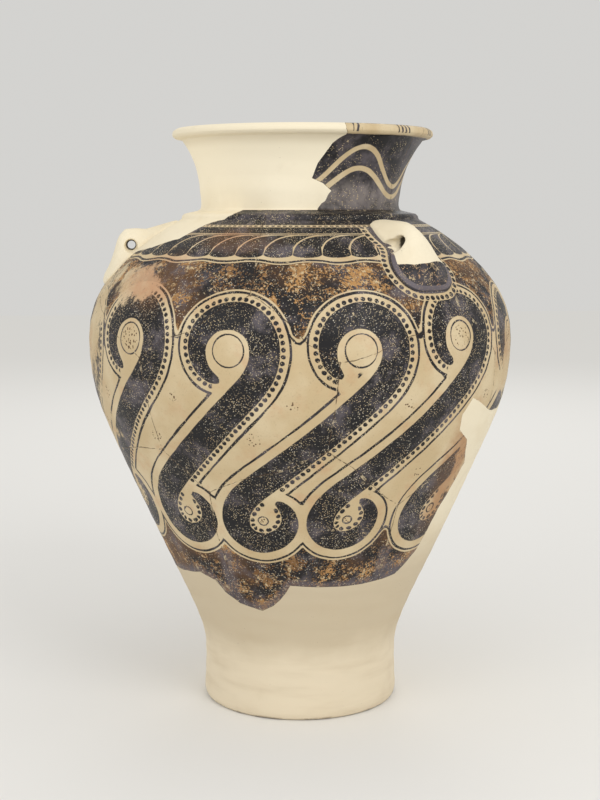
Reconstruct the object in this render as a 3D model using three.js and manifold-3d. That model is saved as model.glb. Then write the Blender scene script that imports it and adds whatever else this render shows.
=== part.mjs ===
import * as THREE from 'three';
import { mergeVertices } from 'three/addons/utils/BufferGeometryUtils.js';
import Module from 'manifold-3d';

// A large Bronze Age storage jar, mended from its own sherds with plaster fills between them.
// Millimetres, +Z up, origin at the middle of the foot. An azimuth is in degrees, counted towards the right
// from the middle of the painted front, and that middle lies FRONT_TURN past -Y towards +X.

const wasm = await Module();
wasm.setup();

// Driving dimensions
const HEIGHT = 740;
const WALL = 11;
const NECK_WALL = 10;
const FLOOR = 17;
const FLOOR_RADIUS = 104;
const FRONT_TURN = -2;
const JOINT_GAP = 0.4;
const HANDLE_GAP = 0.3;

// How finely the round wall and its curves are stepped
const FACETS_ROUND = 36;
const BODY_STEPS = 21;
const BODY_STEPS_INSIDE = 11;
const NECK_STEPS = 6;
const NECK_STEPS_INSIDE = 4;

// Foot, wall and shoulder as one curve, each point [radius, height]
const BODY_POINTS = [
  [126, 4], [127.6, 15], [126.2, 52], [129.3, 89], [145.5, 133], [172.7, 192], [199.9, 252], [226.1, 311],
  [251.6, 370], [267.2, 418], [272.8, 472], [266.9, 515], [249.5, 548], [224.1, 577], [190, 605], [153, 627],
];
const FOOT_EDGE = [[0, 0], [121.5, 0], [124.6, 1.2]];
const COLLAR = [[152.2, 631], [148.6, 634], [140, 635.8], [131, 637.6]];
const NECK_POINTS = [
  [128.2, 640], [127.4, 646], [128.5, 659], [132.3, 681], [137.2, 696], [143.6, 710], [154.4, 726.5],
];
const LIP = [[163.5, 728.2], [167, 731.6], [166.4, 737], [161.5, HEIGHT]];
const LIP_INSIDE = [[152.5, HEIGHT], [148, 735.5]];
const NECK_SEAM = 638.4;
const ABOVE_SEAM = 658;

// Where the three handles stand, how far both ends drift to the right of the hole, from HANDLE_RISE above and
// below it, and how high the strap bows above its hole
const HANDLE_RISE = 26;
const HANDLES = {
  left: { azimuth: -91, drift: 0, bow: 0.5 },
  right: { azimuth: 32, drift: 3.2, bow: 1 },
  back: { azimuth: 152, drift: -2.2, bow: 0.8 },
};
// The form of one handle from its top lobe to its lower root: [height of the wall under it, how far it stands
// off the wall, half its width]
const HANDLE_STATIONS = [
  [626, 0.8, 15], [622, 6, 22.5], [615, 13, 25.5], [609, 20, 26], [604, 25, 25], [598.5, 28, 24],
  [592.5, 28.6, 26.5], [586.5, 27.6, 32], [581.5, 24.5, 36.5], [574.5, 17.4, 41], [566.5, 12, 42],
  [560.5, 9.4, 40.5], [553.5, 7.4, 36.5], [548, 5, 30], [543.5, 0.8, 20],
];
const BOW_FROM = 592.5;
const BOW_RISE = 12;
// The back of the strap is a dome: flat in the middle, falling off towards both edges
const DOME_FLATNESS = 2.3;
const DOME_FALL = 1.35;
// A small hole pierces each handle sideways, and its mouths flare. A second, narrower reach runs from its
// middle down to the wall on one side, where the finger that smoothed the hole came out
const HOLE = { radius: 213, height: 600.5, waist: 5.8, mouth: 9.6, halfLength: 34, reach: 4.1 };
const LEFT_HOLE = { ...HOLE, radius: 216.5, height: 594.5, waist: 5.2, mouth: 7.5, reach: 0 };
const HOLE_FLARE = 1.2;
const REACH_LENGTH = 46;
const HANDLE_SINK = 7;

// Break lines as [azimuth, height] round the wall
const LOWER_BREAK = [
  [-75, 182], [-62, 186], [-51.5, 191], [-43.6, 184], [-40, 169], [-33.5, 156], [-22.9, 148], [-13.8, 166],
  [-9, 187], [7.5, 184], [25.5, 185], [38.5, 190], [47.3, 219], [50.6, 271], [55.7, 328], [49.9, 362],
  [43.6, 378], [42.6, 397], [45.9, 416], [51.7, 406], [59.8, 393], [69, 391], [80, 399], [91, 378], [98, 335],
  [105, 288], [113, 238], [122, 204], [141, 197], [166, 186], [190, 193], [215, 182], [240, 190], [263, 183],
];
const FLANK_SEAM = [[34, 203], [52, 199], [80, 203], [104, 199], [128, 204]];
const SHOULDER_BREAK = [
  [-37, ABOVE_SEAM], [-37.7, 630], [-49, 620], [-55, 604], [-67, 593], [-80, 586], [-84, 565], [-88, 537],
  [-95, 533], [-101, 552], [-104, 580], [-109, 602], [-115, 621], [-117, ABOVE_SEAM],
];
const NECK_BREAKS = [
  [
    [12.6, 744], [12.6, 733], [14, 727], [6.9, 709], [0.7, 676], [11.8, 662], [8.6, 650], [4.7, 641],
    [4, 634],
  ],
  [[60, 744], [57, 724], [61, 700], [54, 679], [58, 655], [56, 634]],
  [[108, 744], [104, 725], [109, 700], [101, 675], [106, 655], [103, 634]],
];
const ROOT_BREAK = [
  [14, 606], [24.6, 597], [25.2, 588], [24.4, 580], [24, 573], [28.5, 568.5], [33, 568.5], [38, 571],
  [48, 574],
];

// Painted sherds in three rows: name, how many, height of the middle, azimuth of the first
const SHERD_ROWS = [
  { name: 'lower_sherd', count: 6, height: 262, first: -62 },
  { name: 'belly_sherd', count: 7, height: 418, first: -74 },
  { name: 'shoulder_sherd', count: 6, height: 562, first: -50 },
];
const SHERD_SCATTER = 26;
const BREAK_STEP = 46;
const BREAK_ROUGHNESS = 4.5;
const SMALLEST_PIECE = 2000;

const CLAY = { color: 0xcdb68c, roughness: 0.62 };
const PAINT = { color: 0x33353b, roughness: 0.5 };
const PLASTER = { color: 0xe8dcba, roughness: 0.8 };

const group = new THREE.Group();

function addPiece(name, solid, finish) {
  const { vertProperties, triVerts } = solid.getMesh();
  const geometry = new THREE.BufferGeometry();
  geometry.setAttribute('position', new THREE.BufferAttribute(new Float32Array(vertProperties), 3));
  geometry.setIndex(new THREE.BufferAttribute(new Uint32Array(triVerts), 1));
  geometry.computeVertexNormals();
  const mesh = new THREE.Mesh(geometry, new THREE.MeshStandardMaterial({ ...finish, metalness: 0 }));
  mesh.name = name;
  group.add(mesh);
}

// A closed geometry as a solid: shared corners merged, flat triangles dropped, faces turned outwards
function toSolid(geometry) {
  geometry.deleteAttribute('normal');
  geometry.deleteAttribute('uv');
  const merged = mergeVertices(geometry, 1e-4);
  const corners = merged.attributes.position.array;
  const kept = [];
  let volume = 0;
  const [a, b, c] = [new THREE.Vector3(), new THREE.Vector3(), new THREE.Vector3()];
  for (let i = 0; i < merged.index.count; i += 3) {
    const triangle = [0, 1, 2].map((k) => merged.index.getX(i + k));
    if (new Set(triangle).size < 3) continue;
    [a, b, c].forEach((corner, k) => corner.fromArray(corners, 3 * triangle[k]));
    volume += a.dot(b.cross(c));
    kept.push(triangle);
  }
  const triVerts = new Uint32Array(kept.flatMap((t) => (volume < 0 ? [t[0], t[2], t[1]] : t)));
  return new wasm.Manifold(new wasm.Mesh({ numProp: 3, vertProperties: corners, triVerts }));
}

// Rings of points, each with the same count, skinned into a closed solid. The two halves of a ring split
// their quads along opposite diagonals, so that the faces of a thin twisted ribbon stay side by side
function loft(rings, closed = false) {
  const count = rings[0].length;
  const indices = [];
  const last = closed ? rings.length : rings.length - 1;
  for (let i = 0; i < last; i += 1) {
    for (let k = 0; k < count; k += 1) {
      const next = (k + 1) % count;
      const here = i * count;
      const there = ((i + 1) % rings.length) * count;
      if (k < count / 2) indices.push(here + k, here + next, there + next, here + k, there + next, there + k);
      else indices.push(here + k, here + next, there + k, here + next, there + next, there + k);
    }
  }
  for (let k = 1; k < count - 1 && !closed; k += 1) {
    indices.push(0, k + 1, k);
    const end = (rings.length - 1) * count;
    indices.push(end, end + k, end + k + 1);
  }
  const geometry = new THREE.BufferGeometry().setFromPoints(rings.flat());
  geometry.setIndex(indices);
  return toSolid(geometry);
}

function revolve(profile, facets = FACETS_ROUND) {
  const points = profile.map(([radius, height]) => new THREE.Vector2(radius, height));
  return toSolid(new THREE.LatheGeometry(points, facets).rotateX(Math.PI / 2));
}

function sampled(points, count) {
  const curve = new THREE.SplineCurve(points.map(([radius, height]) => new THREE.Vector2(radius, height)));
  return curve.getPoints(count).map((point) => [point.x, point.y]);
}

// The same line moved to its left, as the inside of a wall lies inside its outer face
function offset(line, distance) {
  return line.map(([radius, height], i) => {
    const before = line[Math.max(i - 1, 0)];
    const after = line[Math.min(i + 1, line.length - 1)];
    const along = new THREE.Vector2(after[0] - before[0], after[1] - before[1]).normalize();
    return [radius - along.y * distance, height + along.x * distance];
  });
}

// The inside of the wall starts above the rounded corner of the floor and ends under the lip
const CORNER_TOP = FLOOR + 9;
const LIP_BOTTOM = 728;
const bodyOutside = sampled(BODY_POINTS, BODY_STEPS);
const neckOutside = sampled(NECK_POINTS, NECK_STEPS);
const bodyInside = offset(sampled(BODY_POINTS, BODY_STEPS_INSIDE), WALL).filter(([, z]) => z > CORNER_TOP);
const neckInside = offset(sampled(NECK_POINTS, NECK_STEPS_INSIDE), NECK_WALL)
  .filter(([, z]) => z < LIP_BOTTOM);

function jarProfile() {
  const outside = [...FOOT_EDGE, ...bodyOutside, ...COLLAR, ...neckOutside, ...LIP];
  const floor = [[0, FLOOR], [FLOOR_RADIUS, FLOOR]];
  const inside = [...floor, ...bodyInside, ...neckInside, ...LIP_INSIDE.slice().reverse()];
  return [...outside, ...inside.reverse()];
}

// Outer radius of the wall at a height. Below the foot and above the collar the line runs on, for the cutters
function radiusAt(height) {
  const top = bodyOutside[bodyOutside.length - 1];
  const line = [[121, -40], ...bodyOutside, [top[0] - 84, top[1] + 49]];
  const i = Math.max(1, line.findIndex(([, z]) => z > height));
  const [below, above] = [line[i - 1], line[i]];
  return below[0] + ((above[0] - below[0]) * (height - below[1])) / (above[1] - below[1]);
}

function around(azimuth, radius, height) {
  const turn = THREE.MathUtils.degToRad(azimuth + FRONT_TURN);
  return new THREE.Vector3(radius * Math.sin(turn), -radius * Math.cos(turn), height);
}

// Outward normal of the wall
function outward(azimuth, height) {
  const slope = (radiusAt(height + 4) - radiusAt(height - 4)) / 8;
  return around(azimuth, 1, -slope).normalize();
}

let seed = 7;
function random() {
  seed = (seed * 16807) % 2147483647;
  return seed / 2147483647;
}

// A thin cutter that follows a break line through the wall, from inside it to outside it
function breakCutter(line, options = {}) {
  const { closed = false, inner = 30, outer = 24, radius = radiusAt, facing = outward } = options;
  const points = line.map(([azimuth, height]) => around(azimuth, radius(height), height));
  const rings = line.map(([azimuth, height], i) => {
    const n = line.length;
    const before = points[closed ? (i + n - 1) % n : Math.max(i - 1, 0)];
    const after = points[closed ? (i + 1) % n : Math.min(i + 1, n - 1)];
    const normal = facing(azimuth, height);
    const side = after.clone().sub(before).cross(normal).setLength(JOINT_GAP / 2);
    const deep = points[i].clone().addScaledVector(normal, -inner);
    const high = points[i].clone().addScaledVector(normal, outer);
    return [
      deep.clone().add(side), deep.clone().sub(side), high.clone().sub(side), high.clone().add(side),
    ];
  });
  return loft(rings, closed);
}

// A break line with more points, each moved a little, as fired clay breaks
function roughened(line, closed = false) {
  const result = [];
  const count = closed ? line.length : line.length - 1;
  for (let i = 0; i < count; i += 1) {
    const [a0, z0] = line[i];
    let [a1, z1] = line[(i + 1) % line.length];
    if (a1 - a0 > 180) a1 -= 360;
    if (a0 - a1 > 180) a1 += 360;
    const perDegree = (radiusAt((z0 + z1) / 2) * Math.PI) / 180;
    const length = Math.hypot((a1 - a0) * perDegree, z1 - z0);
    const steps = Math.max(1, Math.round(length / BREAK_STEP));
    for (let k = 0; k < steps; k += 1) {
      const t = k / steps;
      const shake = k === 0 ? 0 : BREAK_ROUGHNESS;
      const azimuth = a0 + (a1 - a0) * t + ((random() - 0.5) * 2 * shake) / perDegree;
      result.push([azimuth, z0 + (z1 - z0) * t + (random() - 0.5) * 2 * shake]);
    }
  }
  if (!closed) result.push(line[line.length - 1]);
  return result;
}

// Sherd cells: the wall is unrolled, with the distance along it upwards, and each seed owns what is nearest
const MEAN_RADIUS = 225;
const DEGREE = (MEAN_RADIUS * Math.PI) / 180;

const heightTable = sampled(BODY_POINTS, 200);
const distances = [0];
for (let i = 1; i < heightTable.length; i += 1) {
  const [before, here] = [heightTable[i - 1], heightTable[i]];
  distances.push(distances[i - 1] + Math.hypot(here[0] - before[0], here[1] - before[1]));
}

// The distance along the wall of a height, and back
function distanceAt(height) {
  return distances[heightTable.findIndex(([, z]) => z >= height)];
}

function heightAt(distance) {
  const i = distances.findIndex((d) => d >= distance);
  if (i < 1) return i === 0 ? heightTable[0][1] : ABOVE_SEAM;
  const t = (distance - distances[i - 1]) / (distances[i] - distances[i - 1]);
  return heightTable[i - 1][1] + t * (heightTable[i][1] - heightTable[i - 1][1]);
}

const seeds = SHERD_ROWS.flatMap(({ name, count, height, first }) => {
  return Array.from({ length: count }, (_, k) => ({
    name: `${name}_${k + 1}`,
    x: (first + (360 * k) / count) * DEGREE + (random() - 0.5) * SHERD_SCATTER,
    y: distanceAt(height) + (random() - 0.5) * SHERD_SCATTER,
  }));
});

// The part of the line midway between two seeds that no third seed is nearer to
function edgeBetween(p, q, others) {
  const middle = new THREE.Vector2((p.x + q.x) / 2, (p.y + q.y) / 2);
  const along = new THREE.Vector2(-(q.y - p.y), q.x - p.x).normalize();
  let [from, to] = [-240, 240];
  for (const other of others) {
    const away = new THREE.Vector2(other.x - p.x, other.y - p.y);
    const centre = new THREE.Vector2((other.x + p.x) / 2, (other.y + p.y) / 2);
    const speed = along.dot(away);
    const start = middle.clone().sub(centre).dot(away);
    if (Math.abs(speed) < 1e-9) {
      if (start > 0) return null;
    } else if (speed > 0) {
      to = Math.min(to, -start / speed);
    } else {
      from = Math.max(from, -start / speed);
    }
  }
  if (to - from < 3) return null;
  const ends = [from - 1, to + 1].map((t) => middle.clone().addScaledVector(along, t));
  return ends.map((end) => [end.x / DEGREE, heightAt(end.y)]);
}

function sherdBreaks() {
  const turn = 360 * DEGREE;
  const copies = seeds.flatMap((s) => [-turn, 0, turn].map((shift) => ({ ...s, x: s.x + shift, home: s })));
  const cutters = [];
  seeds.forEach((p, i) => {
    for (const q of copies) {
      if (seeds.indexOf(q.home) <= i) continue;
      const others = copies.filter((o) => o !== q && (o.home !== p || o.x !== p.x));
      const edge = edgeBetween(p, q, others);
      if (edge) cutters.push(breakCutter(roughened(edge)));
    }
  });
  return cutters;
}

function middleOf(solid) {
  const { min, max } = solid.boundingBox();
  const middle = new THREE.Vector3((min[0] + max[0]) / 2, (min[1] + max[1]) / 2, (min[2] + max[2]) / 2);
  const azimuth = THREE.MathUtils.radToDeg(Math.atan2(middle.x, -middle.y)) - FRONT_TURN;
  return { azimuth, height: middle.z };
}

function cutAll(solid, cutters) {
  const cut = cutters.reduce((rest, cutter) => rest.subtract(cutter), solid);
  return cut.decompose().filter((piece) => piece.volume() > SMALLEST_PIECE);
}

function nearestSeed(solid) {
  const { azimuth, height } = middleOf(solid);
  const away = (s) => {
    const turns = (((azimuth - s.x / DEGREE) % 360) + 540) % 360 - 180;
    return Math.hypot(turns * DEGREE, distanceAt(height) - s.y);
  };
  return seeds.reduce((best, s) => (away(s) < away(best) ? s : best));
}

// The jar thrown whole, then parted at the seam between neck and shoulder
const jar = revolve(jarProfile());
const halfGap = JOINT_GAP / 2;
const [seamFrom, seamTo] = [95, 132];
const seam = revolve([
  [seamFrom, NECK_SEAM - halfGap], [seamTo, NECK_SEAM - halfGap],
  [seamTo, NECK_SEAM + halfGap], [seamFrom, NECK_SEAM + halfGap],
  [seamFrom, NECK_SEAM - halfGap],
]);
const [body, neck] = cutAll(jar, [seam]).sort((p, q) => middleOf(p).height - middleOf(q).height);

// Neck and rim: two painted sherds and the plaster that carries them round
const level = (azimuth) => around(azimuth, 1, 0);
const throughNeck = { inner: 45, outer: 45, radius: () => 140, facing: level };
const neckCutters = NECK_BREAKS.map((line) => breakCutter(line, throughNeck));
const neckPieces = cutAll(neck, neckCutters);
for (const piece of neckPieces) {
  const { azimuth } = middleOf(piece);
  if (azimuth > 0 && azimuth < 57) addPiece('neck_sherd_front', piece, PAINT);
  else if (azimuth >= 57 && azimuth < 110) addPiece('neck_sherd_side', piece, PAINT);
  else addPiece('neck_fill', piece, PLASTER);
}

// Plaster fills: the foot with the low wall, the right flank and the left shoulder
const fillCutters = [
  breakCutter(roughened(LOWER_BREAK, true), { closed: true }),
  breakCutter(roughened(SHOULDER_BREAK)),
];
const bodyPieces = cutAll(body, fillCutters).sort((p, q) => q.volume() - p.volume());
const lowFill = bodyPieces.find((piece) => piece.boundingBox().min[2] < 1);
const shoulderFill = bodyPieces[bodyPieces.length - 1];
const paintedWall = bodyPieces.find((piece) => piece !== lowFill && piece !== shoulderFill);
addPiece('shoulder_fill', shoulderFill, PLASTER);
for (const piece of cutAll(lowFill, [breakCutter(FLANK_SEAM)])) {
  addPiece(piece.boundingBox().min[2] < 1 ? 'foot_fill' : 'flank_fill', piece, PLASTER);
}

// Painted sherds of the wall
for (const piece of cutAll(paintedWall, sherdBreaks())) {
  addPiece(nearestSeed(piece).name, piece, CLAY);
}

// Pierced strap handles, luted on the shoulder
function handleSection([height, fullLift, half], { azimuth, drift, bow }) {
  const normal = outward(azimuth, height);
  const across = around(azimuth + 90, 1, 0);
  const lift = fullLift * (1 - (1 - bow) * THREE.MathUtils.clamp((height - BOW_FROM) / BOW_RISE, 0, 1));
  const shift = drift * Math.min(Math.abs(height - HOLE.height) / HANDLE_RISE, 1);
  const foot = around(azimuth, radiusAt(height), height).addScaledVector(across, shift);
  const steps = 11;
  const dome = Array.from({ length: steps + 1 }, (_, k) => {
    const t = -1 + (2 * k) / steps;
    const rise = lift * (1 - Math.abs(t) ** DOME_FLATNESS) ** DOME_FALL;
    return foot.clone().addScaledVector(across, t * half).addScaledVector(normal, rise);
  });
  const under = [half, -half].map((x) => {
    return foot.clone().addScaledVector(across, x).addScaledVector(normal, -HANDLE_SINK);
  });
  return [...dome, ...under];
}

function handleHole(azimuth, hole) {
  const steps = 8;
  const profile = Array.from({ length: steps + 1 }, (_, k) => {
    const t = -1 + (2 * k) / steps;
    return [hole.waist + (hole.mouth - hole.waist) * Math.abs(t * 2) ** HOLE_FLARE, t * hole.halfLength];
  });
  const closed = [[0, -hole.halfLength], ...profile, [0, hole.halfLength]];
  const points = closed.map(([radius, along]) => new THREE.Vector2(radius, along));
  const geometry = new THREE.LatheGeometry(points, 14);
  const across = around(azimuth + 90, 1, 0);
  const turn = new THREE.Quaternion().setFromUnitVectors(new THREE.Vector3(0, 1, 0), across);
  const place = around(azimuth, hole.radius, hole.height);
  const through = toSolid(geometry.applyQuaternion(turn).translate(place.x, place.y, place.z));
  if (!hole.reach) return through;
  const reach = new THREE.CylinderGeometry(hole.reach, hole.reach, REACH_LENGTH, 12).rotateZ(Math.PI / 2);
  const middle = place.x - REACH_LENGTH / 2 + hole.reach;
  return through.add(toSolid(reach.translate(middle, place.y, place.z)));
}

// The wall as a solid without its inside, a gap larger, which every handle is cut by
const wallSkin = revolve([
  [0, 100], ...bodyOutside.slice(5).map(([radius, height]) => [radius + HANDLE_GAP * 1.3, height]),
  ...COLLAR.map(([radius, height]) => [radius + HANDLE_GAP, height + HANDLE_GAP]), [0, 660],
]);

function handleSolid(side, hole = HOLE) {
  const lug = loft(HANDLE_STATIONS.map((station) => handleSection(station, HANDLES[side])));
  return lug.subtract(handleHole(HANDLES[side].azimuth, hole)).subtract(wallSkin);
}

function biggest(solid) {
  return solid.decompose().reduce((best, piece) => (piece.volume() > best.volume() ? piece : best));
}

addPiece('handle_left', biggest(handleSolid('left', LEFT_HOLE)), PLASTER);
addPiece('handle_back', biggest(handleSolid('back')), PAINT);
const rootCut = breakCutter(ROOT_BREAK, { outer: 60 });
const rightParts = handleSolid('right').subtract(rootCut).decompose();
const [upper, root] = rightParts.sort((p, q) => q.volume() - p.volume());
addPiece('handle_right', upper, PLASTER);
addPiece('handle_right_root', root, PAINT);

export default group;
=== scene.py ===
# %% [markdown]
# A painted storage jar, mended from its own sherds with cream plaster between them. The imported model
# gives every sherd, fill and handle as a faceted solid. This lesson rounds each of them to the form that
# a potter's hands gave it, paints the clay with running scrolls, and finishes the plaster. The packed
# model comes in first, because every piece is made in its place.

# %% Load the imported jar
import math

import bmesh
import bpy
import numpy as np
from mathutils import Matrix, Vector, kdtree, noise


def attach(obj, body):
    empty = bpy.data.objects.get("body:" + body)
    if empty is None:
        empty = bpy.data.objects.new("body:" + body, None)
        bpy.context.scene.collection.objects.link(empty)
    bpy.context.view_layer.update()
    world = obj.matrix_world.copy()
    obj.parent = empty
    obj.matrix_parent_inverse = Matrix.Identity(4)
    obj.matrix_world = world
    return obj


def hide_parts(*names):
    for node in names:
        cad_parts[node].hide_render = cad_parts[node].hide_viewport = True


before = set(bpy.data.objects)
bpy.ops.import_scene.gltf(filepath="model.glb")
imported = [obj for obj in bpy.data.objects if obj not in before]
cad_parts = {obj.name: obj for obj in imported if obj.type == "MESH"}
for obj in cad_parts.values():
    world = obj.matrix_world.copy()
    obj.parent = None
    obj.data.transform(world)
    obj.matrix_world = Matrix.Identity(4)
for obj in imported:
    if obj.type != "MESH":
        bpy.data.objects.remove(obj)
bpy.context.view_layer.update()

MM = 0.001
print("nodes in the frame:", len(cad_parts))

# %% [markdown]
# The photograph was taken from a little above the shoulder with a short telephoto lens. The ellipses of
# the rim and the foot say where the camera stood: its height, its distance and its tilt follow from
# them, so the camera is set by those numbers and not by eye. Azimuths are counted from the front, -Y,
# towards +X, and the middle of the painted front is turned a little from there.

# %% Camera
FRONT_TURN = -2.0
CAMERA_TURN = -5.0 + FRONT_TURN
CAMERA_DISTANCE = 1.834
CAMERA_HEIGHT = 0.6367
CAMERA_TILT = 7.6156
PHOTO_LONG_SIDE = 800
FOCAL_PIXELS = 1410.4
SENSOR = 36.0


def place_camera():
    data = bpy.data.cameras.new("camera")
    data.sensor_width = SENSOR
    data.lens = SENSOR * FOCAL_PIXELS / PHOTO_LONG_SIDE
    camera = bpy.data.objects.new("camera", data)
    turn = math.radians(CAMERA_TURN)
    camera.location = (CAMERA_DISTANCE * math.sin(turn), -CAMERA_DISTANCE * math.cos(turn), CAMERA_HEIGHT)
    camera.rotation_euler = (math.radians(90 - CAMERA_TILT), 0, turn)
    bpy.context.scene.collection.objects.link(camera)
    bpy.context.scene.camera = camera
    return camera


camera = place_camera()
bpy.context.scene.view_settings.view_transform = "Standard"
print("lens", round(camera.data.lens, 2), "mm")

# %% [markdown]
# A material is a tree of small nodes, and writing each node and link by hand hides what the potter did.
# So a first helper lets a number that varies over the surface be added and multiplied like any other.
# After this the paint can be written as plain sums of distances.

# %% Numbers that vary over the surface


class Signal:
    """A number that varies over the surface, with ordinary arithmetic."""

    def __init__(self, finish, socket):
        self.finish = finish
        self.socket = socket

    def __add__(self, other):
        return self.finish.math("ADD", self, other)

    def __radd__(self, other):
        return self.finish.math("ADD", other, self)

    def __sub__(self, other):
        return self.finish.math("SUBTRACT", self, other)

    def __rsub__(self, other):
        return self.finish.math("SUBTRACT", other, self)

    def __mul__(self, other):
        return self.finish.math("MULTIPLY", self, other)

    def __truediv__(self, other):
        return self.finish.math("DIVIDE", self, other)


print("a signal can be added, taken away, multiplied and divided")

# %% [markdown]
# A second helper holds one material in the making. It has a short method for each thing that the
# finishes need: noise, cells, soft steps, strokes of the brush and layers of colour. Blender's node
# editor could do the same, but a written tree is easier to read and to change. The sheen is low, because
# burnished clay and plaster shine far less than glaze.

# %% A material in the making
SHEEN = 0.22


class Finish:
    """A material in the making. Lengths are in millimetres and colours are as the eye names them."""

    def __init__(self, name):
        self.material = bpy.data.materials.new(name)
        self.material.use_nodes = True
        self.tree = self.material.node_tree
        self.tree.nodes.clear()
        self.place = self.node("ShaderNodeTexCoord").outputs["Object"]

    def node(self, kind, **settings):
        node = self.tree.nodes.new(kind)
        for key, value in settings.items():
            setattr(node, key, value)
        return node

    def feed(self, value, socket):
        if isinstance(value, Signal):
            self.tree.links.new(value.socket, socket)
        elif isinstance(value, bpy.types.NodeSocket):
            self.tree.links.new(value, socket)
        elif isinstance(value, tuple):
            socket.default_value = (*linear(value), 1)
        else:
            socket.default_value = value

    def math(self, operation, *values):
        node = self.node("ShaderNodeMath", operation=operation)
        for value, socket in zip(values, node.inputs):
            self.feed(value, socket)
        return Signal(self, node.outputs[0])

    def most(self, *signals):
        result = signals[0]
        for signal in signals[1:]:
            result = self.math("MAXIMUM", result, signal)
        return result

    def least(self, *signals):
        result = signals[0]
        for signal in signals[1:]:
            result = self.math("MINIMUM", result, signal)
        return result

    def rise(self, signal, low, high):
        """0 where the signal is below low, 1 above high, and a smooth step between."""
        node = self.node("ShaderNodeMapRange", interpolation_type="SMOOTHSTEP")
        for value, name in ((signal, "Value"), (low, "From Min"), (high, "From Max")):
            self.feed(value, node.inputs[name])
        return Signal(self, node.outputs[0])

    def fall(self, signal, low, high):
        return 1 - self.rise(signal, low, high)

    def stroke(self, signal, centre, half, soft=0.35):
        """1 on a stroke of the brush round a value of the signal."""
        return self.fall(self.math("ABSOLUTE", signal - centre), half - soft, half + soft)

    def cycle(self, signal):
        """The way from one whole number to the next, over and over from 0 to 1."""
        return self.math("FLOORED_MODULO", signal, 1.0)

    def reach(self, one, other):
        return self.math("SQRT", one * one + other * other)

    def attribute(self, name):
        node = self.node("ShaderNodeAttribute", attribute_name=name, attribute_type="GEOMETRY")
        return Signal(self, node.outputs["Fac"])

    def axes(self):
        node = self.node("ShaderNodeSeparateXYZ")
        self.feed(self.place, node.inputs[0])
        return [Signal(self, output) * 1000 for output in node.outputs]

    def azimuth(self, x, y):
        return self.math("ARCTAN2", x, 0 - y) * (180 / math.pi)

    def grain(self, size, detail=2.0, rough=0.5, where=None, lift=0.0):
        """Soft noise with blots of about this size in millimetres, spread about 0.5."""
        node = self.node("ShaderNodeTexNoise")
        self.feed(where or self.moved(lift), node.inputs["Vector"])
        node.inputs["Scale"].default_value = 1000.0 / size
        node.inputs["Detail"].default_value = detail
        node.inputs["Roughness"].default_value = rough
        return Signal(self, node.outputs["Fac"])

    def placed(self, operation, *amounts):
        node = self.node("ShaderNodeVectorMath", operation=operation)
        self.feed(self.place, node.inputs[0])
        node.inputs[1].default_value = amounts
        return node.outputs[0]

    def moved(self, lift):
        return self.placed("ADD", lift, lift * 0.7, lift * 1.3) if lift else self.place

    def stretched(self, *amounts):
        return self.placed("MULTIPLY", *amounts)

    def cells(self, size, lift=0.0):
        node = self.node("ShaderNodeTexVoronoi")
        self.feed(self.moved(lift), node.inputs["Vector"])
        node.inputs["Scale"].default_value = 1000.0 / size
        return Signal(self, node.outputs["Distance"])

    def specks(self, size, low, high, patches, start, full, lift=0.0):
        """Small round specks that come only where the noise of the patches is strong."""
        return self.fall(self.cells(size, lift), low, high) * self.rise(patches, start, full)

    def mix(self, factor, below, above):
        """The colour above laid over the colour below, as thickly as the factor says."""
        node = self.node("ShaderNodeMix", data_type="RGBA")
        self.feed(factor, node.inputs["Factor"])
        inputs = {socket.name: socket for socket in node.inputs if socket.type == "RGBA"}
        self.feed(below, inputs["A"])
        self.feed(above, inputs["B"])
        return [socket for socket in node.outputs if socket.type == "RGBA"][0]

    def close(self, colour, roughness, height):
        """The ceramic surface itself, with relief in millimetres."""
        shader = self.node("ShaderNodeBsdfPrincipled")
        self.feed(colour, shader.inputs["Base Color"])
        self.feed(roughness, shader.inputs["Roughness"])
        shader.inputs["Specular IOR Level"].default_value = SHEEN
        bump = self.node("ShaderNodeBump")
        bump.inputs["Strength"].default_value = 1.0
        bump.inputs["Distance"].default_value = MM
        self.feed(height, bump.inputs["Height"])
        self.tree.links.new(bump.outputs[0], shader.inputs["Normal"])
        out = self.node("ShaderNodeOutputMaterial")
        self.tree.links.new(shader.outputs[0], out.inputs[0])
        return self.material


def linear(rgb):
    """A colour as the eye names it, 0 to 255, as the light that the renderer counts."""
    return [((c / 255 + 0.055) / 1.055) ** 2.4 if c > 10 else c / 255 / 12.92 for c in rgb]


print("a mid clay is", [round(c, 3) for c in linear((205, 182, 140))])

# %% [markdown]
# A plain pale floor and soft lamps: a large one from the upper right of the camera for the form, a broad
# one from the left, one behind for the rim, and an even sky. Far from the lamps the floor is as bright
# as its tone times the sky, so the backdrop that the camera sees is given just that, and no hard line
# crosses the picture behind the jar.

# %% Floor, sky and lamps
FLOOR_TONE = (231, 230, 227)
FLOOR_SIZE = 14
SKY_LEVEL = 0.82
LAMP_AIM = Vector((0, 0, 0.40))
LAMPS = {
    "key": dict(azimuth=25, distance=2.6, height=2.3, size=1.6, watts=26),
    "fill": dict(azimuth=-48, distance=2.8, height=1.6, size=2.0, watts=12),
    "rim": dict(azimuth=168, distance=3.0, height=2.2, size=1.5, watts=12),
}


def seen_share(tree):
    """1 for the camera and for reflections, 0 for the light that falls on the jar."""
    path = tree.nodes.new("ShaderNodeLightPath")
    seen = tree.nodes.new("ShaderNodeMath")
    seen.operation = "MAXIMUM"
    tree.links.new(path.outputs["Is Camera Ray"], seen.inputs[0])
    tree.links.new(path.outputs["Is Glossy Ray"], seen.inputs[1])
    return seen.outputs[0]


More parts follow.
